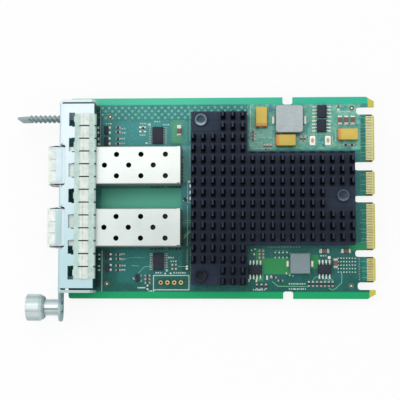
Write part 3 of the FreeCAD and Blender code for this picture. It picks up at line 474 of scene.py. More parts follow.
# flat marks on the board, each row a width in millimetres and then the corners that it runs through
markSettings = {"silkTall": 0.02, "runTall": 0.012, "padTall": 0.07, "dotTall": 0.04}
silkLines = [
    (0.35, 47.75, -34.68, 34.4, -34.68, 34.4, -29.3, 47.75, -29.3, 47.75, -34.68), (0.12, 13.9, 35.1, 13.9, 19.8),
    (0.25, 14.9, -20, 14.9, -35.2), (0.22, 48.45, -18.6, 48.45, -32.8), (0.2, 47.1, -2.8, 47.1, -18.2),
    (0.25, 47.2, 6.2, 47.2, -1.9, 48.6, -1.9), (0.45, 28.5, -33.9, 31.2, -33.9), (0.18, 92.7, 23.9, 101.2, 23.9),
    (0.25, 101.7, 23.4, 101.7, 19.7), (0.15, 92.7, 23.9, 92.7, 21), (0.2, 101.7, 19.7, 100.9, 18.9),
    (0.2, 102.9, 25.4, 102.9, 21.3), (0.15, 111.7, 25.4, 111.7, 21.1), (0.2, 79.7, 24, 79.7, 19),
    (0.12, 85.3, -21, 92.95, -21, 92.95, -28.5, 85.3, -28.5), (0.25, 70.9, 34.6, 70.9, 19.4),
    (0.2, 70.9, 19.4, 71.4, 18.6, 76.5, 18.6), (0.2, 70.9, 34.6, 71.8, 35.3), (0.12, 26.3, -25.6, 28.9, -25.75),
    (0.14, 47.9, 33.2, 47.9, 22), (0.12, 47.9, 20, 47.9, 11)]
copperRuns = [
    (0.14, 41.6, 29.3, 45.8, 29.3, 46.5, 28.7, 46.5, 21.5, 45.8, 20.9, 41.6, 20.9),
    (0.12, 41.6, 20.9, 40.9, 21.5, 40.9, 28.7, 41.6, 29.3), (0.28, 78.98, -31.56, 81.03, -33.28, 92.39, -33.4),
    (0.25, 99.94, -33.94, 101.3, -34.7, 102.68, -33.94), (0.28, 102.68, -33.94, 104.75, -31.88, 104.78, -28.4),
    (0.25, 28.69, -28.39, 31.06, -25.96, 33.4, -25.96), (0.25, 43.7, -25.96, 46.93, -25.95),
    (0.18, 47.05, -19.42, 47.07, -25.2), (0.2, 93.9, -31.2, 95, -29.9, 96.5, -29.7),
    (0.2, 97.8, -29.9, 99, -31.2), (0.2, 98.9, -29.9, 100.4, -31.2), (0.2, 100.1, -29.9, 101.6, -31.3),
    (0.25, 104.5, 19.2, 106.4, 21), (0.25, 94.8, 18.9, 96.4, 20.3), (0.14, 22, -23.9, 25.5, -22.6, 31, -22.6),
    (0.25, 45.4, 9.05, 48.4, 9.05), (0.25, 45.4, 7.9, 48.4, 7.9), (0.22, 45.4, -8.63, 48.4, -8.63),
    (0.22, 45.4, -9.5, 48.4, -9.5), (0.3, 45.76, -15.35, 48.27, -12.82), (0.3, 45.9, -14.4, 48.1, -12.3)]
fanSettings = {
    "left": 111.9, "right": 114.4, "pitch": 1.2, "wide": 0.16,
    "tongues": [(-31.2, -23), (-19.2, -2.6), (1.2, 9.5), (14, 30.6)]}


def stripModel(name, tall):
    strip = startBlock(name, mm, mm, tall * mm)
    crown(strip, 0.06 * mm, tall * 0.2 * mm)
    done()
    return strip


def stripPlaces(lines):
    places = []
    for wide, *numbers in lines:
        corners = list(zip(numbers[::2], numbers[1::2]))
        for (x0, y0), (x1, y1) in zip(corners, corners[1:]):
            long = math.hypot(x1 - x0, y1 - y0) + wide * 0.8
            angle = math.degrees(math.atan2(y1 - y0, x1 - x0))
            places.append(at((x0 + x1) / 2, (y0 + y1) / 2, angle=angle, stretch=(long, wide)))
    return places


def speckled(name, colour, stain, roughness):
    paint = Paint(name, Roughness=roughness)
    worn = paint.clouds(1400, low=0.4)
    paint.base = paint.mix(worn, colour, stain)
    return paint.feed(relief=(worn, 0.01, 0.4))


silkPaint = speckled("silkWhite", (196, 222, 212), (150, 190, 178), 0.7)
spread("silkLines", stripModel("silkStrip", markSettings["silkTall"]), stripPlaces(silkLines), paint=silkPaint)
for band in range(-30, 31):
    y = band * fanSettings["pitch"]
    if band % 3 and any(low < y < high for low, high in fanSettings["tongues"]):
        copperRuns.append((fanSettings["wide"], fanSettings["left"] + 0.3 * (band % 2), y, fanSettings["right"], y))
spread("copperRuns", stripModel("copperStrip", markSettings["runTall"]), stripPlaces(copperRuns),
       paint=speckled("coveredCopper", (112, 186, 142), (80, 160, 120), 0.4))
print("silk and runs drawn")


# short dashes that stand for the print beside parts
dashRows = [
    (22.3, 26.4), (22.3, 24.75), (22.1, 22.6), (22.1, 20.75), (30, 28.3), (29.9, 23.9), (35.6, 29),
    (38.9, 27.8), (22.4, -21.3), (22.4, -23.1), (22.6, -25.6), (22.6, -27.2), (41, -22.6), (41.9, -24),
    (33.6, -35.1), (36.3, -28.3), (43, -28.3), (45.4, -28.3), (104.8, 32.4), (107.2, 32.4), (72.8, -34.6),
    (75.2, -34.6), (86.2, -32.4), (88.2, -32.4), (90.2, -32.4), (86.2, -34.3), (88.4, -34.3), (90.4, -34.3),
    (76.3, 22.7), (78, 22.7), (98, -21.9), (16.9, 28.3)]
dashPlaces = []
for index, (x, y) in enumerate(dashRows):
    for step in range(3):
        long = 0.7 - 0.15 * ((index + step) % 3)
        dashPlaces.append(at(x + (step - 1) * 0.85, y, stretch=(long, 0.5)))
spread("printDashes", stripModel("dashStrip", markSettings["silkTall"]), dashPlaces, paint=silkPaint)
triangle = startRound("silkTriangle", 0.95 * mm, 0.025 * mm, 3)
soften(triangle, 0.008 * mm, 1)
trianglePlaces = [at(32.5, 27.85, angle=90), at(39.4, -27.45, angle=-90, stretch=(0.7, 0.7))]
spread("silkTriangles", triangle, trianglePlaces, paint=silkPaint)


# bare pads with a low solder crown
tinPaint = metal("brightTin", (214, 222, 214), 0.36, (160, 174, 164))


def padModel(name, tall):
    pad = startBlock(name, mm, mm, tall * mm)
    crown(pad, 0.2 * mm, tall * 0.6 * mm)
    pickEdges(pad, upright)
    roundEdges(0.12 * mm)
    done()
    return smooth(pad, 60)


# places of each size of pad
padSizes = {
    (1, 0.85): [(17.25, 26.8), (17.25, 24.9), (17.25, 22.67), (17.25, 20.68)],
    (0.7, 0.9): [(13, 26.8), (13, 24.9), (13.1, 22.5), (13.2, 20.5)],
    (0.9, 0.8): [(18.05, -21.3), (18.05, -23.1), (18.1, -25.4), (18.1, -27.2)],
    (0.8, 0.6): [(13.8, -21.5), (13.8, -23.1), (13.8, -25.8), (13.8, -27.3)],
    (0.9, 0.7): [(29.1, 26.85), (30.8, 26.84), (29.1, 25.24), (30.8, 25.23)], (0.7, 0.6): [(31.5, 20.8)],
    (0.6, 0.7): [(32.16, -33.12), (32.17, -34.44)], (0.9, 0.6): [(47, -25.95), (47, -26.8), (104, 33.1)],
    (0.7, 1.2): [(48.2, 4.4), (48.2, 2), (48.2, -0.3)], (0.8, 0.8): [(47.7, 6)],
    (0.8, 0.7): [(29.5, -29.4), (29.5, -31.3), (27.1, -30.4)], (0.5, 0.6): [(38.8, -28.6), (72.46, -19.4)],
    (0.7, 0.5): [(40.9, -28.5)], (0.6, 0.8): [(89.9, 23), (91.6, 23), (89.9, 21.1), (91.6, 21.1)],
    (1.1, 1.1): [(100.2, -22.6)], (0.6, 1.2): [(73, -31.2)], (0.7, 1.6): [(77, -30.1)],
    (0.6, 1): [(78.5, -29.8)], (1.5, 1): [(43.85, 27.1), (43.85, 23.9)], (0.4, 0.4): [(45.6, -1.1), (46.9, -0.2)],
    (0.5, 0.7): [(84.23, -28.46), (72.21, -21.33)], (0.6, 0.5): [(85.45, -29.19)], (0.5, 0.4): [(86.68, -29.43)],
    (0.5, 1): [(70.2, -31.17)], (0.5, 0.5): [(71.23, -19.85)]}
padSizes[0.4, 0.6] = [(80.08 + 1.45 * step, y) for step in range(4) for y in (-20.7, -22.56)]
padPlaces = [at(x, y, stretch=(long, wide)) for (long, wide), spots in padSizes.items() for x, y in spots]
spread("loosePads", padModel("padModel", markSettings["padTall"]), padPlaces, paint=tinPaint)

barePads = {"left": 94.2, "right": 100.0, "middle": 21.45, "long": 2.1, "wide": 3.5, "tall": 0.1}


def fluxedTin(settings):
    paint = Paint("fluxedTin", Metallic=0.35, Roughness=0.35)
    burnt = paint.noise(700, 3, 0.6)
    spots = 0
    for centre in (settings["left"], settings["right"]):
        dx = (paint.x - centre) / 0.8
        dy = (paint.y - settings["middle"]) / 1.3
        spots = paint.fade(dx * dx + dy * dy + burnt * 0.8, 1.3, 0.6) + spots
    paint.base = paint.mix(spots, (236, 240, 232), (190, 150, 100))
    return paint.feed()


padPlaces = [
    at(barePads[side], barePads["middle"], stretch=(barePads["long"], barePads["wide"]))
    for side in ("left", "right")]
spread("unfittedPads", padModel("barePad", barePads["tall"]), padPlaces, paint=fluxedTin(barePads))
print("pads laid")


# through vias, header holes and fiducials
viaSettings = {"radius": 0.28, "hole": 0.16, "tall": 0.03, "sides": 8, "sunk": 0.02}
headerSettings = {"radius": 0.8, "hole": 0.42, "tall": 0.05, "sides": 20, "sunk": 0.6}
fiducialSettings = {"radius": 0.95, "hole": 0.72, "tall": 0.03, "sides": 20, "sunk": 0.02}
viaPlaces = [
    (75, 24.5), (74.8, 22.5), (73, 20.3), (74.1, 20.4), (77.9, 27.8), (80.4, -20.2), (81.6, -20.2),
    (83, -20), (84.5, -20.5), (83, -23.3), (97.4, 30), (102.9, 27), (92.4, 27.1), (89.6, 19.5),
    (103, 19.2), (93.4, 29.2), (25.9, 20.6), (27.3, 22.6), (24.9, 29.5), (38.9, 20.4)]
viaPlaces += [(77.3 + 1.07 * step, -18.6) for step in range(12)]
viaPlaces += [(111.3, -23.1 - 0.95 * step) for step in range(9)]
fieldPlaces = [
    at(103.5 + 1.05 * step, -22.8 - 1.3 * row, stretch=(0.45, 0.4))
    for step in range(7) for row in range(5)]
pinRows = [(33.7 + 1.32 * step, y) for step in range(9) for y in (4.0, -19.4) if step != 4]
pinRows += [(45.15, y + 1.3 * step) for step in range(8) for y in (6.2, -17.6) if step != 6]


def ringModel(name, radius, hole, tall, sides, sunk):
    base = min(0, tall - sunk - 0.05)
    ring = startRound(name, radius * mm, (tall - base) * mm, sides, base * mm)
    edit(ring)
    pickFaces(ring, facing(1))
    inset((radius - hole) * mm)
    pull(0, 0, -sunk * mm)
    done()
    return ring


def twoShades(piece, hole, rim, dark):
    cover(piece, rim)
    piece.data.materials.append(dark)
    for face in piece.data.polygons:
        inside = math.hypot(face.center.x, face.center.y) < hole * 0.6 * mm
        face.material_index = 1 if inside and face.normal.z > 0.5 else 0


dark = moulded("holeShade", (12, 40, 34), 0.7, (6, 24, 22))
via = ringModel("via", **viaSettings)
twoShades(via, 0.3, speckled("viaRim", (150, 196, 168), (110, 160, 130), 0.4), dark)
spread("scatteredVias", via, viaPlaces)
spread("testField", padModel("testDot", markSettings["dotTall"]), fieldPlaces, paint=tinPaint)
pin = startRound("pressPin", 0.34 * mm, 0.7 * mm, 8)
soften(pin, 0.1 * mm, 1)
pinPaint = moulded("pinBrown", (66, 54, 38), 0.5, (30, 34, 28))
spread("pressPins", pin, pinRows, paint=pinPaint)
goldPaint = metal("plainGold", (208, 190, 136), 0.4, (190, 140, 70))
header = ringModel("headerRing", **headerSettings)
twoShades(header, 0.6, goldPaint, moulded("barrelShade", (96, 60, 26), 0.5, (40, 44, 24)))
spread("headerRings", header, [(x, -31.95) for x in (37.1, 39.64, 42.18, 44.72)])
fiducialPlaces = [(17.57, 31), (108.97, 33.7), (16.8, -32.4), (108.3, -33.1)]
rim = ringModel("fiducialRim", **fiducialSettings)
twoShades(rim, 0.95, speckled("bareLaminate", (150, 134, 84), (120, 104, 62), 0.7), dark)
spread("fiducialRims", rim, fiducialPlaces)
dot = startRound("fiducialDot", 0.42 * mm, 0.06 * mm, 16)
soften(dot, 0.02 * mm, 1)
spread("fiducialDots", dot, fiducialPlaces, paint=tinPaint)
print("vias and fiducials")


# leaded chips
mouldPaint = moulded("chipMould", (40, 48, 62), 0.48, (28, 36, 50))
leadPaint = metal("dullTin", (188, 194, 188), 0.4, (138, 142, 142))
chipShape = {"rise": 0.1, "seam": 0.5, "draft": 0.24, "round": 0.07, "segments": 2}
chipKinds = {
    "regulator": {"reach": 3.0, "root": 1.8, "wide": 0.42, "thick": 0.2, "high": 0.85, "foot": 0.65,
                  "pitch": 1.27, "count": 4, "pad": (1.3, 0.6), "shade": tinPaint},
    "interface": {"reach": 3.15, "root": 2.05, "wide": 0.24, "thick": 0.13, "high": 0.55, "foot": 0.5,
                  "pitch": 0.65, "count": 10, "pad": (0.6, 0.3), "shade": leadPaint}}


def gullLead(name, settings):
    thick, wide, high, root = (settings[key] * mm for key in ("thick", "wide", "high", "root"))
    run = settings["reach"] * mm - root - settings["foot"] * mm - thick
    lead = startBlock(name, thick, wide, thick, high - thick / 2)
    edit(lead, "SELECT")
    bpy.ops.transform.translate(value=(root, 0, 0))
    end = root + thick / 2
    for along, down in ((run * 0.5, 0), (run * 0.5, thick - high), (settings["foot"] * mm, 0)):
        pickFaces(lead, lambda centre, normal: centre.x > end - 0.01 * mm)
        pull(along, 0, down)
        end += along
    done()
    soften(lead, thick * 0.15, 1)
    return smooth(lead)


def leadPlaces(chips, settings, out=0.0):
    places = []
    for low, high in chips:
        middle = (low + high) / 2 / mm
        across = high.x - low.x < high.y - low.y
        for angle in (0, 180) if across else (90, 270):
            for step in range(settings["count"]):
                aside = (step - (settings["count"] - 1) / 2) * settings["pitch"]
                x, y = (0, aside) if across else (aside, 0)
                place = at(middle.x + x, middle.y + y, angle=angle)
                places.append(place @ Matrix.Translation((out * mm, 0, 0)))
    return places


def mouldedCase(name, low, high, shape):
    size, rise, draft = high - low, shape["rise"] * mm, shape["draft"] * mm
    case = startBlock(name, size.x, size.y, size.z - rise, rise)
    edit(case, "SELECT")
    bpy.ops.mesh.bisect(plane_co=(0, 0, size.z * shape["seam"]), plane_no=(0, 0, 1))
    for side in (1, -1):
        pickFaces(case, facing(side))
        bpy.ops.transform.resize(value=(1 - draft / size.x, 1 - draft / size.y, 1))
    done()
    soften(case, shape["round"] * mm, shape["segments"])
    return standAt(smooth(case), low, high)


def dimpleModel(name, radius):
    dimple = startRound(name, radius * mm, 0.05 * mm, 16)
    crown(dimple, 0.3 * radius * mm, -0.03 * mm)
    done()
    return smooth(dimple)


for kind, settings in chipKinds.items():
    chips = solidBoxes(kind + "_chips")
    cases = [mouldedCase(kind + "Case", low, high, chipShape) for low, high in chips]
    ready(join(kind + "Cases", cases), kind + "_chips", paint=mouldPaint, slot="chip_mould")
    spread(kind + "Leads", gullLead(kind + "Lead", settings), leadPlaces(chips, settings),
           kind + "_leads", paint=settings["shade"], slot="tin_plate")
    long, wide = settings["pad"]
    feet = leadPlaces(chips, settings, settings["reach"] - long * 0.1)
    padPlaces = [foot @ Matrix.Diagonal((long, wide, 1, 1)) for foot in feet]
    spread(kind + "Pads", padModel(kind + "Pad", markSettings["padTall"]), padPlaces, paint=settings["shade"])
    marks = [at(low.x / mm + 0.7, high.y / mm - 0.7, high.z / mm - 0.045) for low, high in chips]
    spread(kind + "Dimples", dimpleModel(kind + "Dimple", 0.35), marks, paint=mouldPaint)
print("leaded chips")


# two-ended parts: a soft body between wrapped metal ends, on solder pads
def endedPart(name, low, high, end, bodyPaint, endPaint):
    size = high - low
    along = size.x > size.y
    long, wide = (size.x, size.y) if along else (size.y, size.x)
    pieces = [startBlock(name + "Core", long - end * mm, wide * 0.96, size.z * 0.93, size.z * 0.03)]
    soften(pieces[0], min(wide, size.z) * 0.1, 2)
    cover(pieces[0], bodyPaint)
    for side in (-1, 1):
        cap = startBlock(name + "End", end * mm, wide, size.z)
        edit(cap)
        pickEdges(cap, lambda middle, line: middle.x * side > 0)
        roundEdges(min(wide, size.z) * 0.2)
        done()
        cap.data.transform(Matrix.Translation((side * (long - end * mm) / 2, 0, 0)))
        fillet = padModel(name + "Pad", 0.16)
        fillet.data.transform(at(side * (long / mm - end + 0.2) / 2, 0, 0, stretch=(end + 0.3, wide / mm)))
        for piece in (cap, fillet):
            cover(piece, endPaint)
            pieces.append(piece)
    part = join(name, pieces)
    smooth(part, 40)
    centre = (low + high) / 2 / mm
    part.data.transform(at(centre.x, centre.y, angle=0 if along else 90))
    return part


ceramicPaint = moulded("ceramicBrown", (128, 104, 96), 0.45, (96, 78, 74))
filmPaint = moulded("resistorFilm", (40, 38, 46), 0.4, (86, 56, 54))
capacitors = []
for low, high in solidBoxes("ceramic_capacitors"):
    size = high - low
    big = size.z > 0.8 * mm
    axis = 0 if size.x > size.y else 1
    if big:
        low[axis], high[axis] = low[axis] - 0.5 * mm, high[axis] + 0.5 * mm
    end, endPaint = (0.55, tinPaint) if big else (0.4, leadPaint)
    capacitors.append(endedPart("capacitor", low, high, end, ceramicPaint, endPaint))
ready(join("ceramicCapacitors", capacitors), "ceramic_capacitors", "ceramic_capacitor_ends")
chips = [endedPart("resistor", low, high, 0.36, filmPaint, leadPaint) for low, high in solidBoxes("resistors")]
ready(join("chipResistors", chips), "resistors")
print("two-ended parts")


# moulded tantalum capacitors with a painted end
tantalumSettings = {
    "rise": 0, "seam": 0.45, "draft": 0.12, "round": 0.12, "segments": 3, "bandStart": 2.6,
    "marked": [(75.05, 30.35, -90), (84.2, 21.37, 180), (107.35, 23.52, 180)]}


def tantalumPaint(settings):
    paint = Paint("tantalumYellow", Roughness=0.45)
    clouds = paint.clouds(240)
    pits = paint.clouds(2200, 2)
    paint.base = paint.mix(clouds * 0.4, (216, 190, 84), (198, 166, 62))
    for x, y, angle in settings["marked"]:
        turn = math.radians(angle)
        along = (paint.x - x) * math.cos(turn) + (paint.y - y) * math.sin(turn)
        near = paint.patch(x - 4.2, x + 4.2, y - 4.2, y + 4.2)
        band = paint.fade(along, settings["bandStart"] - 0.1, settings["bandStart"] + 0.1)
        paint.coat(band * near, (216, 148, 60))
    return paint.feed(relief=(pits, 0.02, 0.5))


cases = [mouldedCase("tantalum", low, high, tantalumSettings) for low, high in solidBoxes("tantalum_capacitors")]
yellow = tantalumPaint(tantalumSettings)
ready(join("tantalumCases", cases), "tantalum_capacitors", paint=yellow, slot="tantalum_case")
workedCopy("tantalum_terminals", "tantalumFeet", 0.06, tinPaint, "tin_plate")


# pressed-powder inductors
inductorSettings = {
    "large_inductor": {"corner": 0.9, "top": 0.35, "dim": 0},
    "small_inductor": {"corner": 0.35, "top": 0.25, "dim": 0.75}}


def powder(name, dim):
    paint = Paint(name, Specular_IOR_Level=0.3)
    specks = paint.clouds(3200, 2, 0.7, low=0.42, high=0.62)
    clouds = paint.clouds(260)
    paint.base = paint.mix(specks * 0.6, (174, 186, 188), (208, 218, 218))
    paint.coat(clouds * 0.25, (140, 150, 160))
    paint.coat(dim, (104, 126, 134))
    # painted shade, darker down the lower sides towards the board
    low = paint.fade(paint.z, 2.6, 1.2)
    paint.coat(low * 0.5, (84, 90, 98))
    return paint.feed(Roughness=0.5 + specks * 0.2, relief=(specks, 0.03, 0.6))


for source, settings in inductorSettings.items():
    low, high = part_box(source)
    size = high - low
    core = startBlock(source + "Core", size.x, size.y, size.z)
    edit(core)
    pickEdges(core, upright)
    roundEdges(settings["corner"] * mm, 3)
    pickFaces(core, facing(1))
    inset(settings["top"] * mm)
    pickFaces(core, lambda centre, normal: normal.z > 0.9 and abs(centre.x) < mm and abs(centre.y) < mm)
    bpy.ops.transform.resize(value=(1.02, 1.02, 1))
    done()
    soften(core, 0.2 * mm, 2)
    smooth(core)
    standAt(core, low, high)
    ready(core, source, paint=powder(source + "Powder", settings["dim"]), slot="ferrite_grey")


def strapTin():
    paint = Paint("strapTin", Metallic=0.5, Roughness=0.4)
    clouds = paint.clouds(700)
    paint.base = paint.mix(clouds * 0.7, (218, 224, 216), (176, 186, 178))
    for source in inductorSettings:
        low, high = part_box(source)
        x, half = (low.x + high.x) / 2 / mm, (high.x - low.x) / 2 / mm
        near = paint.patch(x - 8, x + 8, low.y / mm, high.y / mm)
        # painted shadow on each strap next to the coil body
        root = paint.fade(abs(paint.x - x), half + 0.75, half + 0.45) * near
        paint.coat(root * 0.85, (50, 62, 62))
    return paint.feed()


workedCopy("inductor_terminals", "inductorStraps", 0.05, strapTin(), "tin_plate")
print("power parts")


# heatsink
sinkSettings = {
    "floor": 5.5, "tips": 11.1, "edge": 0.08,
    "column": 49.7, "row": 30.45, "pitchX": 3.68, "pitchY": 4.133,
    "bare": [(46, 58.9, 24.2, 34), (46, 58.9, -35, -25.4), (99.3, 112, -4.7, 3.6)]}


def anodised(settings):
    paint = Paint("blackAnodised", Specular_IOR_Level=0.08)
    clouds = paint.clouds(120, 4)
    drawn = paint.clouds(900, 2, 0.5, high=0.65, stretch=(3, 0.15, 1))
    dx = paint.offset(paint.x, settings["column"], settings["pitchX"])
    dy = paint.offset(paint.y, settings["row"], settings["pitchY"])
    ax = abs(dx)
    across = paint.across(boardHalf)
    # painted shade: the base darker towards the bottom of the card, lighter towards the top
    lower, upper = paint.mix(across, (33, 42, 60), (50, 61, 78)), paint.mix(across, (44, 53, 70), (60, 71, 88))
    paint.base = paint.mix(clouds * 0.6, lower, upper)
    paint.coat(drawn * 0.25, (70, 78, 92))
    bare = sum((paint.patch(*corner) for corner in settings["bare"]), 0)
    shadow = paint.fade(ax, 0.31, 0.22) * paint.within(dy, -0.44, 0.28, 0.1) * paint.fade(bare, 1, 0) * 0.95
    paint.coat(shadow, (4, 8, 20))
    # painted shade: thin dark lines at the saw steps between pin rows
    sawStepShade = paint.within(dy, -0.47, -0.41, 0.03) * 0.5
    paint.coat(sawStepShade, (18, 24, 36))
    # painted shade: the pin walls nearly black
    shadedWalls = paint.fade(paint.z, settings["floor"] + 0.1, settings["floor"] + 0.6)
    paint.coat(shadedWalls, (5, 8, 18))
    # painted highlight on the narrow pin tops, weaker towards the bottom of the card
    ridge = paint.fade(paint.z, settings["tips"] - 0.15, settings["tips"] - 0.05) * paint.fade(ax, 0.12, 0.07)
    paint.coat(ridge * (across * 0.5 + 0.4), (64, 71, 88))
    return paint.feed(Roughness=drawn * 0.15 + 0.42, relief=(drawn, 0.01, 0.4))


workedCopy("heatsink", "pinHeatsink", sinkSettings["edge"], anodised(sinkSettings), "black_anodised")


# dished screws that hold the heatsink down
screwSettings = {
    "radius": 2.3, "tall": 1.6, "dish": 0.55, "recess": (0.75, 0.32, 0.12), "recessDown": 0.72,
    # each screw: centre, colour of its painted highlight, colour of the painted shade in its dish
    "shine": [((52.45, 28.7), (160, 178, 188), (58, 80, 94)),
              ((52.45, -29.5), (26, 30, 42), (10, 14, 24)),
              ((105.2, 0.2), (96, 110, 124), (52, 66, 80))]}


def dishedScrew(name, settings):
    radius, tall = settings["radius"] * mm, settings["tall"] * mm
    head = startRound(name, radius, tall, 40)
    edit(head)
    pickFaces(head, facing(1))
    inset(radius * 0.2)
    inset(radius * 0.25)
    lift(-settings["dish"] * 0.7 * mm)
    inset(radius * 0.3)
    lift(-settings["dish"] * 0.5 * mm)
    done()
    soften(head, 0.12 * mm, 2, 40)
    return smooth(head, 60)


def crossRecess(name, reach, wide, deep):
    slot = startBlock(name, reach * 2 * mm, wide * mm, deep * mm)
    edit(slot)
    pickEdges(slot, upright)
    roundEdges(wide * 0.3 * mm)
    done()
    return slot


def dishedSteel(settings):
    paint = Paint("dishedSteel", Metallic=0.5, Specular_IOR_Level=0.3)
    worn = paint.clouds(1300)
    paint.base = paint.mix(worn, (60, 70, 84), (74, 84, 98))
    for (x, y), bright, deep in settings["shine"]:
        near = paint.patch(x - 3, x + 3, y - 3, y + 3)
        dx, dy = paint.x - x, paint.y - y
        out = paint.maths("SQRT", dx * dx + dy * dy)
        # painted highlight on each screw: a bright crescent low in the dish and a lighter rim over the darker painted
        # shade in deep, each screw lit to its own strength
        crescentHighlight = paint.fade(dy, -0.2, -1.5) * paint.within(out, 1.1, 2.2, 0.5)
        rim = paint.within(out, 1.75, 2.15, 0.3) * 0.45
        shade = paint.mix(paint.maths("MAXIMUM", crescentHighlight, rim), deep, bright)
        paint.coat(near * 0.92, shade)
    return paint.feed(Roughness=worn * 0.15 + 0.34)


headPlaces, recesses = [], []
for low, high in solidBoxes("heatsink_screws"):
    centre = (low + high) / 2 / mm
    seat = high.z / mm - screwSettings["tall"]
    headPlaces.append(at(centre.x, centre.y, seat))
    for angle in (20, 110):
        recesses.append(at(centre.x, centre.y, high.z / mm - screwSettings["recessDown"], angle))
headPaint = dishedSteel(screwSettings)
spread("dishedScrews", dishedScrew("dishedHead", screwSettings), headPlaces,
       "heatsink_screws", paint=headPaint, slot="screw_steel")
spread("screwRecesses", crossRecess("recess", *screwSettings["recess"]), recesses, paint=headPaint)
print("heatsink and screws")


# folded faceplate, finger gaskets and cages
sheetLook = {"Metallic": 0.35, "Specular_IOR_Level": 0.3}
plateSettings = {"slitFirst": -26.29, "slitPitch": 4.743, "ports": (11.35, -11.75), "collarHalf": 8.2}
bandSettings = {"ridge": 8.1, "crease": 9.1, "back": 11.2, "notch": 13.2}


def zinc(settings):
    paint = Paint("zincSheet", **sheetLook)
    clouds = paint.clouds(110, 4)
    rolled = paint.clouds(1500, 2, 0.5, high=0.65, stretch=(3, 0.2, 1))
    across = paint.across(plateHalf)
    paint.base = paint.mix(across, (176, 209, 215), (226, 239, 244))
    paint.coat(clouds * 0.35 + rolled * 0.1, paint.mix(across, (194, 222, 226), (210, 228, 236)))
    front = paint.fade(paint.x, 0.45, 0.05)
    paint.coat(front * 0.8, (150, 178, 182))
    # the folded side walls in painted shade, painted shade on the ear and at its join with the plate, and a painted
    # shadow line beside each collar
    shadedWalls = paint.fade(abs(paint.y), 34.6, 34.95)
    paint.coat(shadedWalls * 0.7, paint.mix(across, (168, 192, 188), (214, 228, 224)))
    # painted shade on the ear seen edge-on, darkest where it meets the plate
    earShade = paint.fade(paint.y, -36.2, -36.6) * paint.fade(paint.x, 0.4, 0.7)
    paint.coat(earShade * 0.6, (132, 160, 166))
    throatShade = paint.within(paint.y, -39.8, -36.1, 0.8) * paint.within(paint.x, 0.2, 1.0, 0.3)
    paint.coat(throatShade * 0.6, (86, 112, 126))
    # painted shadow line along the faceplate beside each collar
    for port in settings["ports"]:
        collarShadowLine = paint.patch(0.95, 1.45, port - settings["collarHalf"], port + settings["collarHalf"], 0.3)
        paint.coat(collarShadowLine * 0.7, (104, 138, 150))
    # painted shadow on the plate under the slits of the finger gasket
    step = paint.offset(paint.y, settings["slitFirst"], settings["slitPitch"])
    below = paint.fade(abs(step), 0.09, 0.06) * paint.patch(4.9, 12.0, -27.4, 27.4)
    paint.coat(below, (36, 46, 50))
    return paint.feed(Roughness=rolled * 0.1 + clouds * 0.06 + 0.38, relief=(rolled, 0.01, 0.3))


workedCopy("faceplate", "foldedFaceplate", 0.12, zinc(plateSettings), "faceplate_steel", 2)


def springStrip(plate, settings):
    paint = Paint("springStrip", **sheetLook)
    clouds = paint.clouds(420, 4, 0.7, low=0.38, high=0.66)
    fine = paint.clouds(1600, 2, 0.5, high=0.65)
    paint.base = paint.mix(clouds * 0.8, (192, 213, 206), (162, 187, 180))
    # painted highlight along the raised ridge of the strip
    ridge = paint.within(paint.x, settings["ridge"], settings["back"], 0.3)
    paint.coat(ridge, paint.mix(clouds * 0.7, (220, 227, 221), (190, 200, 193)))
    # painted shade along the crease
    crease = paint.within(paint.x, settings["crease"], settings["crease"] + 0.25, 0.2)
    paint.coat(crease * clouds * 0.8, (156, 150, 140))
    # painted shade standing for the notches between the fingers
    step = paint.offset(paint.y, plate["slitFirst"], plate["slitPitch"])
    notchShade = paint.fade(abs(step), 0.09, 0.05) * paint.fade(paint.x, settings["notch"] - 0.1, settings["notch"] + 0.1)
    paint.coat(notchShade * 0.9, (44, 50, 48))
    # painted shade on the lowest parts of the strip
    edge = paint.fade(paint.z, 10.4, 9.8)
    paint.coat(edge * 0.4, (150, 160, 154))
    return paint.feed(Roughness=fine * 0.14 + 0.38, relief=(clouds, 0.03, 0.4))


stripPaint = springStrip(plateSettings, bandSettings)
for source, name in (("top_gasket", "upperFingers"), ("bottom_gasket", "lowerFingers")):
    workedCopy(source, name, 0.05, stripPaint, "gasket_metal")


def cageSheet(ports):
    paint = Paint("cageSheet", **sheetLook)
    clouds = paint.clouds(80, 4)
    rolled = paint.clouds(1300, 2, 0.5, high=0.65, stretch=(0.3, 4, 1))
    grain = clouds * 0.5 + rolled * 0.15
    across = paint.across(cagesHalf)
    # darker towards the bottom of the card, lighter towards the top
    lowerTone = paint.mix(grain, (207, 216, 213), (190, 200, 197))
    paint.base = paint.mix(across, lowerTone, paint.mix(grain, (238, 243, 240), (224, 230, 225)))
    paint.coat(paint.fade(paint.x, 30, 15) * 0.4, (232, 241, 238))
    nose = paint.fade(paint.x, 3.2, 2.4)
    paint.coat(nose * 0.7, (206, 226, 234))
    # painted shade on the cage side walls
    shadedWalls = paint.fade(paint.z, 9.75, 9.4)
    paint.coat(shadedWalls * 0.75, (140, 136, 126))
    # painted shade: the open inside of each cage nearly black
    for port in ports:
        inside = paint.patch(9.0, 44.8, port - 6.85, port + 6.85, 0.1) * paint.fade(paint.z, 9.66, 9.56)
        paint.coat(inside * 0.95, (14, 14, 17))
    return paint.feed(Roughness=rolled * 0.1 + 0.4, relief=(rolled, 0.01, 0.3))


def collarSheet():
    paint = Paint("collarSheet", **sheetLook)
    clouds = paint.clouds(300, 4)
    fingers = paint.mix(clouds, (230, 235, 230), (198, 206, 200))
    across = paint.across(cagesHalf)
    collar = paint.mix(clouds * 0.4, paint.mix(across, (170, 199, 201), (210, 229, 235)), (192, 214, 222))
    paint.base = paint.mix(paint.fade(paint.x, -1.5, -1.0), fingers, collar)
    # painted shade, darker down the collar walls
    shadedWalls = paint.fade(paint.z, 9.4, 8.6)
    paint.coat(shadedWalls * 0.6, (120, 116, 108))
    return paint.feed(Roughness=clouds * 0.1 + 0.38, relief=(clouds, 0.02, 0.3))


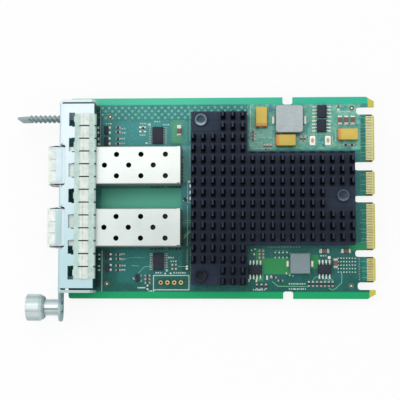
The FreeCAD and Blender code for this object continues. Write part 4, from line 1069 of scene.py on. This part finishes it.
cagePaint, collarPaint = cageSheet(plateSettings["ports"]), collarSheet()
for port in ("port_1", "port_2"):
    workedCopy(port + "_cage", port.replace("_", "") + "Cage", 0.1, cagePaint, "cage_steel", 2)
    workedCopy(port + "_collar", port.replace("_", "") + "Collar", 0.06, collarPaint, "cage_steel")


# tabs folded over the rear corners of each cage, the lower one leaving a slit
cornerTabs = {"x": 44.38, "z": 9.52, "long": 1.12, "thick": 0.27, "sides": [(6.42, 1.08), (-6.2, 0.7)]}


def cornerTab(name, thick):
    tab = startBlock(name, mm, mm, thick * mm)
    edit(tab)
    pickEdges(tab, lambda middle, line: abs(line.z) > 0.9 and middle.x > 0)
    roundEdges(0.15 * mm)
    pickFaces(tab, facing(1))
    inset(0.05 * mm)
    done()
    return smooth(tab, 50)


tabPlaces = [
    at(cornerTabs["x"], port + side, cornerTabs["z"], stretch=(cornerTabs["long"], wide))
    for port in plateSettings["ports"] for side, wide in cornerTabs["sides"]]
spread("cageCorners", cornerTab("cornerTab", cornerTabs["thick"]), tabPlaces, paint=cagePaint)
dress(moulded("connectorBlack", (32, 32, 35), 0.45, (22, 22, 26)), "port_1_connector", "port_2_connector")
print("folded metal")


# thumbscrew: knurled grip with a driver slot, hollow skirt, and a grooved shank
gripSettings = {
    "teeth": 44, "groove": 0.14, "wall": 0.08, "front": -12.2, "knurl": (-11.7, -7.2),
    "skirt": 0.95, "rear": -5.5, "hollow": 3.35, "floor": -11.35, "slot": (2.4, 0.45, 0.5)}
shankSettings = {"radius": 1.5, "start": -11.5, "groove": (-3.6, -3.0), "neck": 1.15, "end": 0.9, "chamfer": 0.4}


def alongScrew(piece):
    low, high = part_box("thumbscrew")
    place = Matrix.Translation((0, (low.y + high.y) / 2, (low.z + high.z) / 2)) @ Matrix.Rotation(math.pi / 2, 4, "Y")
    piece.data.transform(place)
    return piece


def pushCap(up, along, narrow=1.0):
    pull(0, 0, up * along * mm)
    bpy.ops.transform.resize(value=(narrow, narrow, 1))


def thumbGrip(settings):
    low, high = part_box("thumbscrew")
    radius = (high.z - low.z) / 2 / mm
    begin, end = settings["knurl"]
    sides = settings["teeth"] * 2
    grip = startRound("thumbGrip", radius * mm, (end - begin) * mm, sides, begin * mm)
    edit(grip)
    # every other side face is a groove
    pickFaces(grip, lambda centre, normal: abs(normal.z) < 0.5 and
              round(math.degrees(math.atan2(centre.y, centre.x)) * sides / 360 - 0.5) % 2 == 0)
    bpy.ops.mesh.inset(thickness=settings["wall"] * mm, depth=-settings["groove"] * mm, use_individual=True)
    pickFaces(grip, facing(-1))
    pushCap(-1, 0.2, 1 - 0.1 / radius)
    pushCap(-1, begin - settings["front"] - 0.2, 1 - 0.4 / radius)
    pickFaces(grip, facing(1))
    pushCap(1, settings["rear"] - end, 1 - settings["skirt"] / radius)
    inset((radius - settings["skirt"] - settings["hollow"]) * mm)
    pushCap(-1, settings["rear"] - settings["floor"])
    long, wide, deep = (value * mm for value in settings["slot"])
    for limit, normal in ((wide, (1, 0, 0)), (-wide, (1, 0, 0)), (long, (0, 1, 0)), (-long, (0, 1, 0))):
        pickFaces(grip, facing(-1))
        bpy.ops.mesh.bisect(plane_co=tuple(limit * value for value in normal), plane_no=normal)
    pickFaces(grip, lambda centre, normal: normal.z < -0.9 and abs(centre.x) < wide and abs(centre.y) < long)
    pull(0, 0, deep)
    done()
    return alongScrew(smooth(grip, 25))


def groovedShank(settings):
    radius, neck = settings["radius"], settings["neck"] / settings["radius"]
    first, second = settings["groove"]
    shank = startRound("groovedShank", radius * mm, (first - settings["start"]) * mm, 32, settings["start"] * mm)
    edit(shank)
    pickFaces(shank, facing(1))
    pushCap(1, 0, neck)
    pushCap(1, second - first)
    pushCap(1, 0, 1 / neck)
    pushCap(1, settings["end"] - second - settings["chamfer"])
    pushCap(1, settings["chamfer"], 1 - settings["chamfer"] / radius)
    done()
    return alongScrew(smooth(shank, 25))


def turnedNickel(name, highlightsAndShade):
    paint = Paint(name, **sheetLook)
    clouds = paint.clouds(160)
    streaks = paint.clouds(900, low=0.38, high=0.64, stretch=(0.06, 1, 1))
    paint.base = paint.mix(streaks * 0.6 + clouds * 0.2, (224, 236, 236), (180, 199, 202))
    low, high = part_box("thumbscrew")
    across = paint.y - (low.y + high.y) / 2 / mm
    # painted highlights and painted shade in bands along the screw
    for where, soft, depth, colour in highlightsAndShade:
        paint.coat(paint.fade(abs(across - where), soft, soft * 0.4) * depth, colour)
    # painted highlight on the skirt's rim, painted shade in the hollow behind it
    rimHighlight = paint.within(paint.x, -7.1, -6.4, 0.3) * 0.5
    paint.coat(rimHighlight, (196, 226, 226))
    hollowShade = paint.within(paint.x, -6.2, -5.4, 0.4) * 0.6
    paint.coat(hollowShade, (112, 140, 142))
    return paint.feed(Roughness=streaks * 0.12 + 0.36, relief=(streaks, 0.02, 0.4))


# painted highlights and painted shade along the screw: where, softness, strength, colour
gripHighlightsAndShade = [
    (3.9, 0.9, 0.5, (150, 172, 172)), (-4.2, 0.9, 0.5, (150, 176, 174)), (-1.3, 0.7, 0.4, (170, 180, 182)),
    (1.1, 0.8, 0.6, (238, 246, 246))]
ferruleHighlightsAndShade = [
    (-0.55, 0.32, 0.9, (90, 108, 110)), (0.5, 0.7, 0.8, (244, 250, 250)),
    (2.4, 0.8, 0.5, (168, 188, 190)), (-2.2, 0.6, 0.5, (158, 180, 180))]
gripPaint = turnedNickel("turnedNickel", gripHighlightsAndShade)
turned = join("turnedThumbscrew", [thumbGrip(gripSettings), groovedShank(shankSettings)])
ready(turned, "thumbscrew", body="thumbscrew", paint=gripPaint, slot="turned_nickel")
workedCopy("thumbscrew_ferrule", "turnedFerrule", 0.12, turnedNickel("ferruleNickel", ferruleHighlightsAndShade), "turned_nickel")
dress(gripPaint, "retaining_ring", "thumbscrew_spring")
print("thumbscrew")


# pull tab, film, contacts and the rest of the CAD nodes
def tabPlastic():
    paint = Paint("tabPlastic", Specular_IOR_Level=0.3, Roughness=0.45)
    clouds = paint.clouds(300)
    ribShadeSlope = paint.maths("FRACT", (paint.x + paint.y * 0.35) / 1.75)
    paint.base = paint.mix(clouds * 0.4, (150, 172, 172), (128, 152, 154))
    # painted shade: slanted dark lines on the rib flanks
    paint.coat(paint.fade(ribShadeSlope, 0.2, 0.9) * paint.within(paint.x, -12.2, 0.2) * 0.5, (96, 118, 122))
    # painted shade on the part of the tab behind the faceplate
    paint.coat(paint.fade(paint.x, 0.2, 1.0) * 0.9, (22, 40, 44))
    return paint.feed(relief=(clouds, 0.02, 0.4))


workedCopy("pull_tab", "ribbedTab", 0.12, tabPlastic(), "tab_plastic", 2)
dress(moulded("filmBlack", (34, 35, 39), 0.4, (26, 27, 31)), "insulator_film")


def contactGold():
    paint = Paint("contactGold", Metallic=0.7)
    clouds = paint.clouds(300, 4, low=0.4)
    wiped = paint.clouds(2400, 2, 0.5, high=0.65, stretch=(0.2, 3, 1))
    across = paint.across(30)
    wear = clouds * 0.6 + wiped * 0.2
    # darker towards the bottom, lighter towards the top
    lowerTone = paint.mix(wear, (198, 192, 136), (168, 158, 92))
    paint.base = paint.mix(across, lowerTone, paint.mix(wear, (208, 207, 162), (182, 176, 120)))
    return paint.feed(Roughness=wiped * 0.14 + 0.3)


dress(contactGold(), "edge_contacts", "connector_contacts")
dress(metal("plainSteel", (176, 190, 200), 0.3, (120, 134, 146)), "faceplate_screws")
dress(metal("standoffBrass", (196, 176, 120), 0.35, (160, 138, 90)), "heatsink_standoffs")
dress(mouldPaint, "controller_chip", "transistor")
dress(moulded("gapPad", (124, 128, 134), 0.8, (108, 110, 118)), "thermal_pad")
dress(moulded("ledResin", (22, 32, 52), 0.3, (34, 42, 66)), "status_leds")
print("remaining nodes dressed")


# stage and light
stageSettings = {
    "floorSize": 3.0, "below": 0.2, "sky": 0.62, "glow": 0.88,
    "lamps": {"overhead": ((0.0, 0.25, 0.85), 0.9, 3.0), "leftFill": ((-0.6, -0.1, 0.5), 0.6, 1.3)}}


def paleStage(settings):
    low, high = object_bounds()
    bpy.ops.object.select_all(action="DESELECT")
    middle = ((low[0] + high[0]) / 2, 0, low[2] - settings["below"] * mm)
    bpy.ops.mesh.primitive_plane_add(size=settings["floorSize"], location=middle)
    floor = bpy.context.object
    floor.name = "floor"
    bpy.ops.object.transform_apply(location=True)
    paint = Paint("paleFloor", Roughness=0.9)
    mottle = paint.clouds(6, 3, 0.5, low=0.3)
    paint.base = paint.mix(mottle, (244, 244, 244), (248, 248, 248))
    paint.feed()
    glow = paint.node("ShaderNodeEmission", None, {"Color": (1, 1, 1, 1), "Strength": 1.0})
    seen = paint.node("ShaderNodeLightPath", out="Is Camera Ray") * settings["glow"]
    blended = paint.node("ShaderNodeMixShader", None, {0: seen, 1: Wire(paint, paint.shader.outputs[0]), 2: glow})
    paint.tree.links.new(blended.socket, paint.tree.nodes["Material Output"].inputs[0])
    floor.data.materials.append(paint.material)
    floor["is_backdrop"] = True
    world = bpy.data.worlds.new("softSky")
    bpy.context.scene.world = world
    world.use_nodes = True
    world.node_tree.nodes["Background"].inputs[0].default_value = (1, 1, 1, 1)
    world.node_tree.nodes["Background"].inputs[1].default_value = settings["sky"]
    for name, (place, size, power) in settings["lamps"].items():
        data = bpy.data.lights.new(name, "AREA")
        data.size = size
        data.energy = power
        lamp = link(bpy.data.objects.new(name, data))
        lamp.location = place
        lamp.rotation_euler = (Vector((0.055, 0, 0)) - Vector(place)).to_track_quat("-Z", "Y").to_euler()


paleStage(stageSettings)
bpy.context.scene.view_settings.view_transform = "Standard"
print("stage lit")
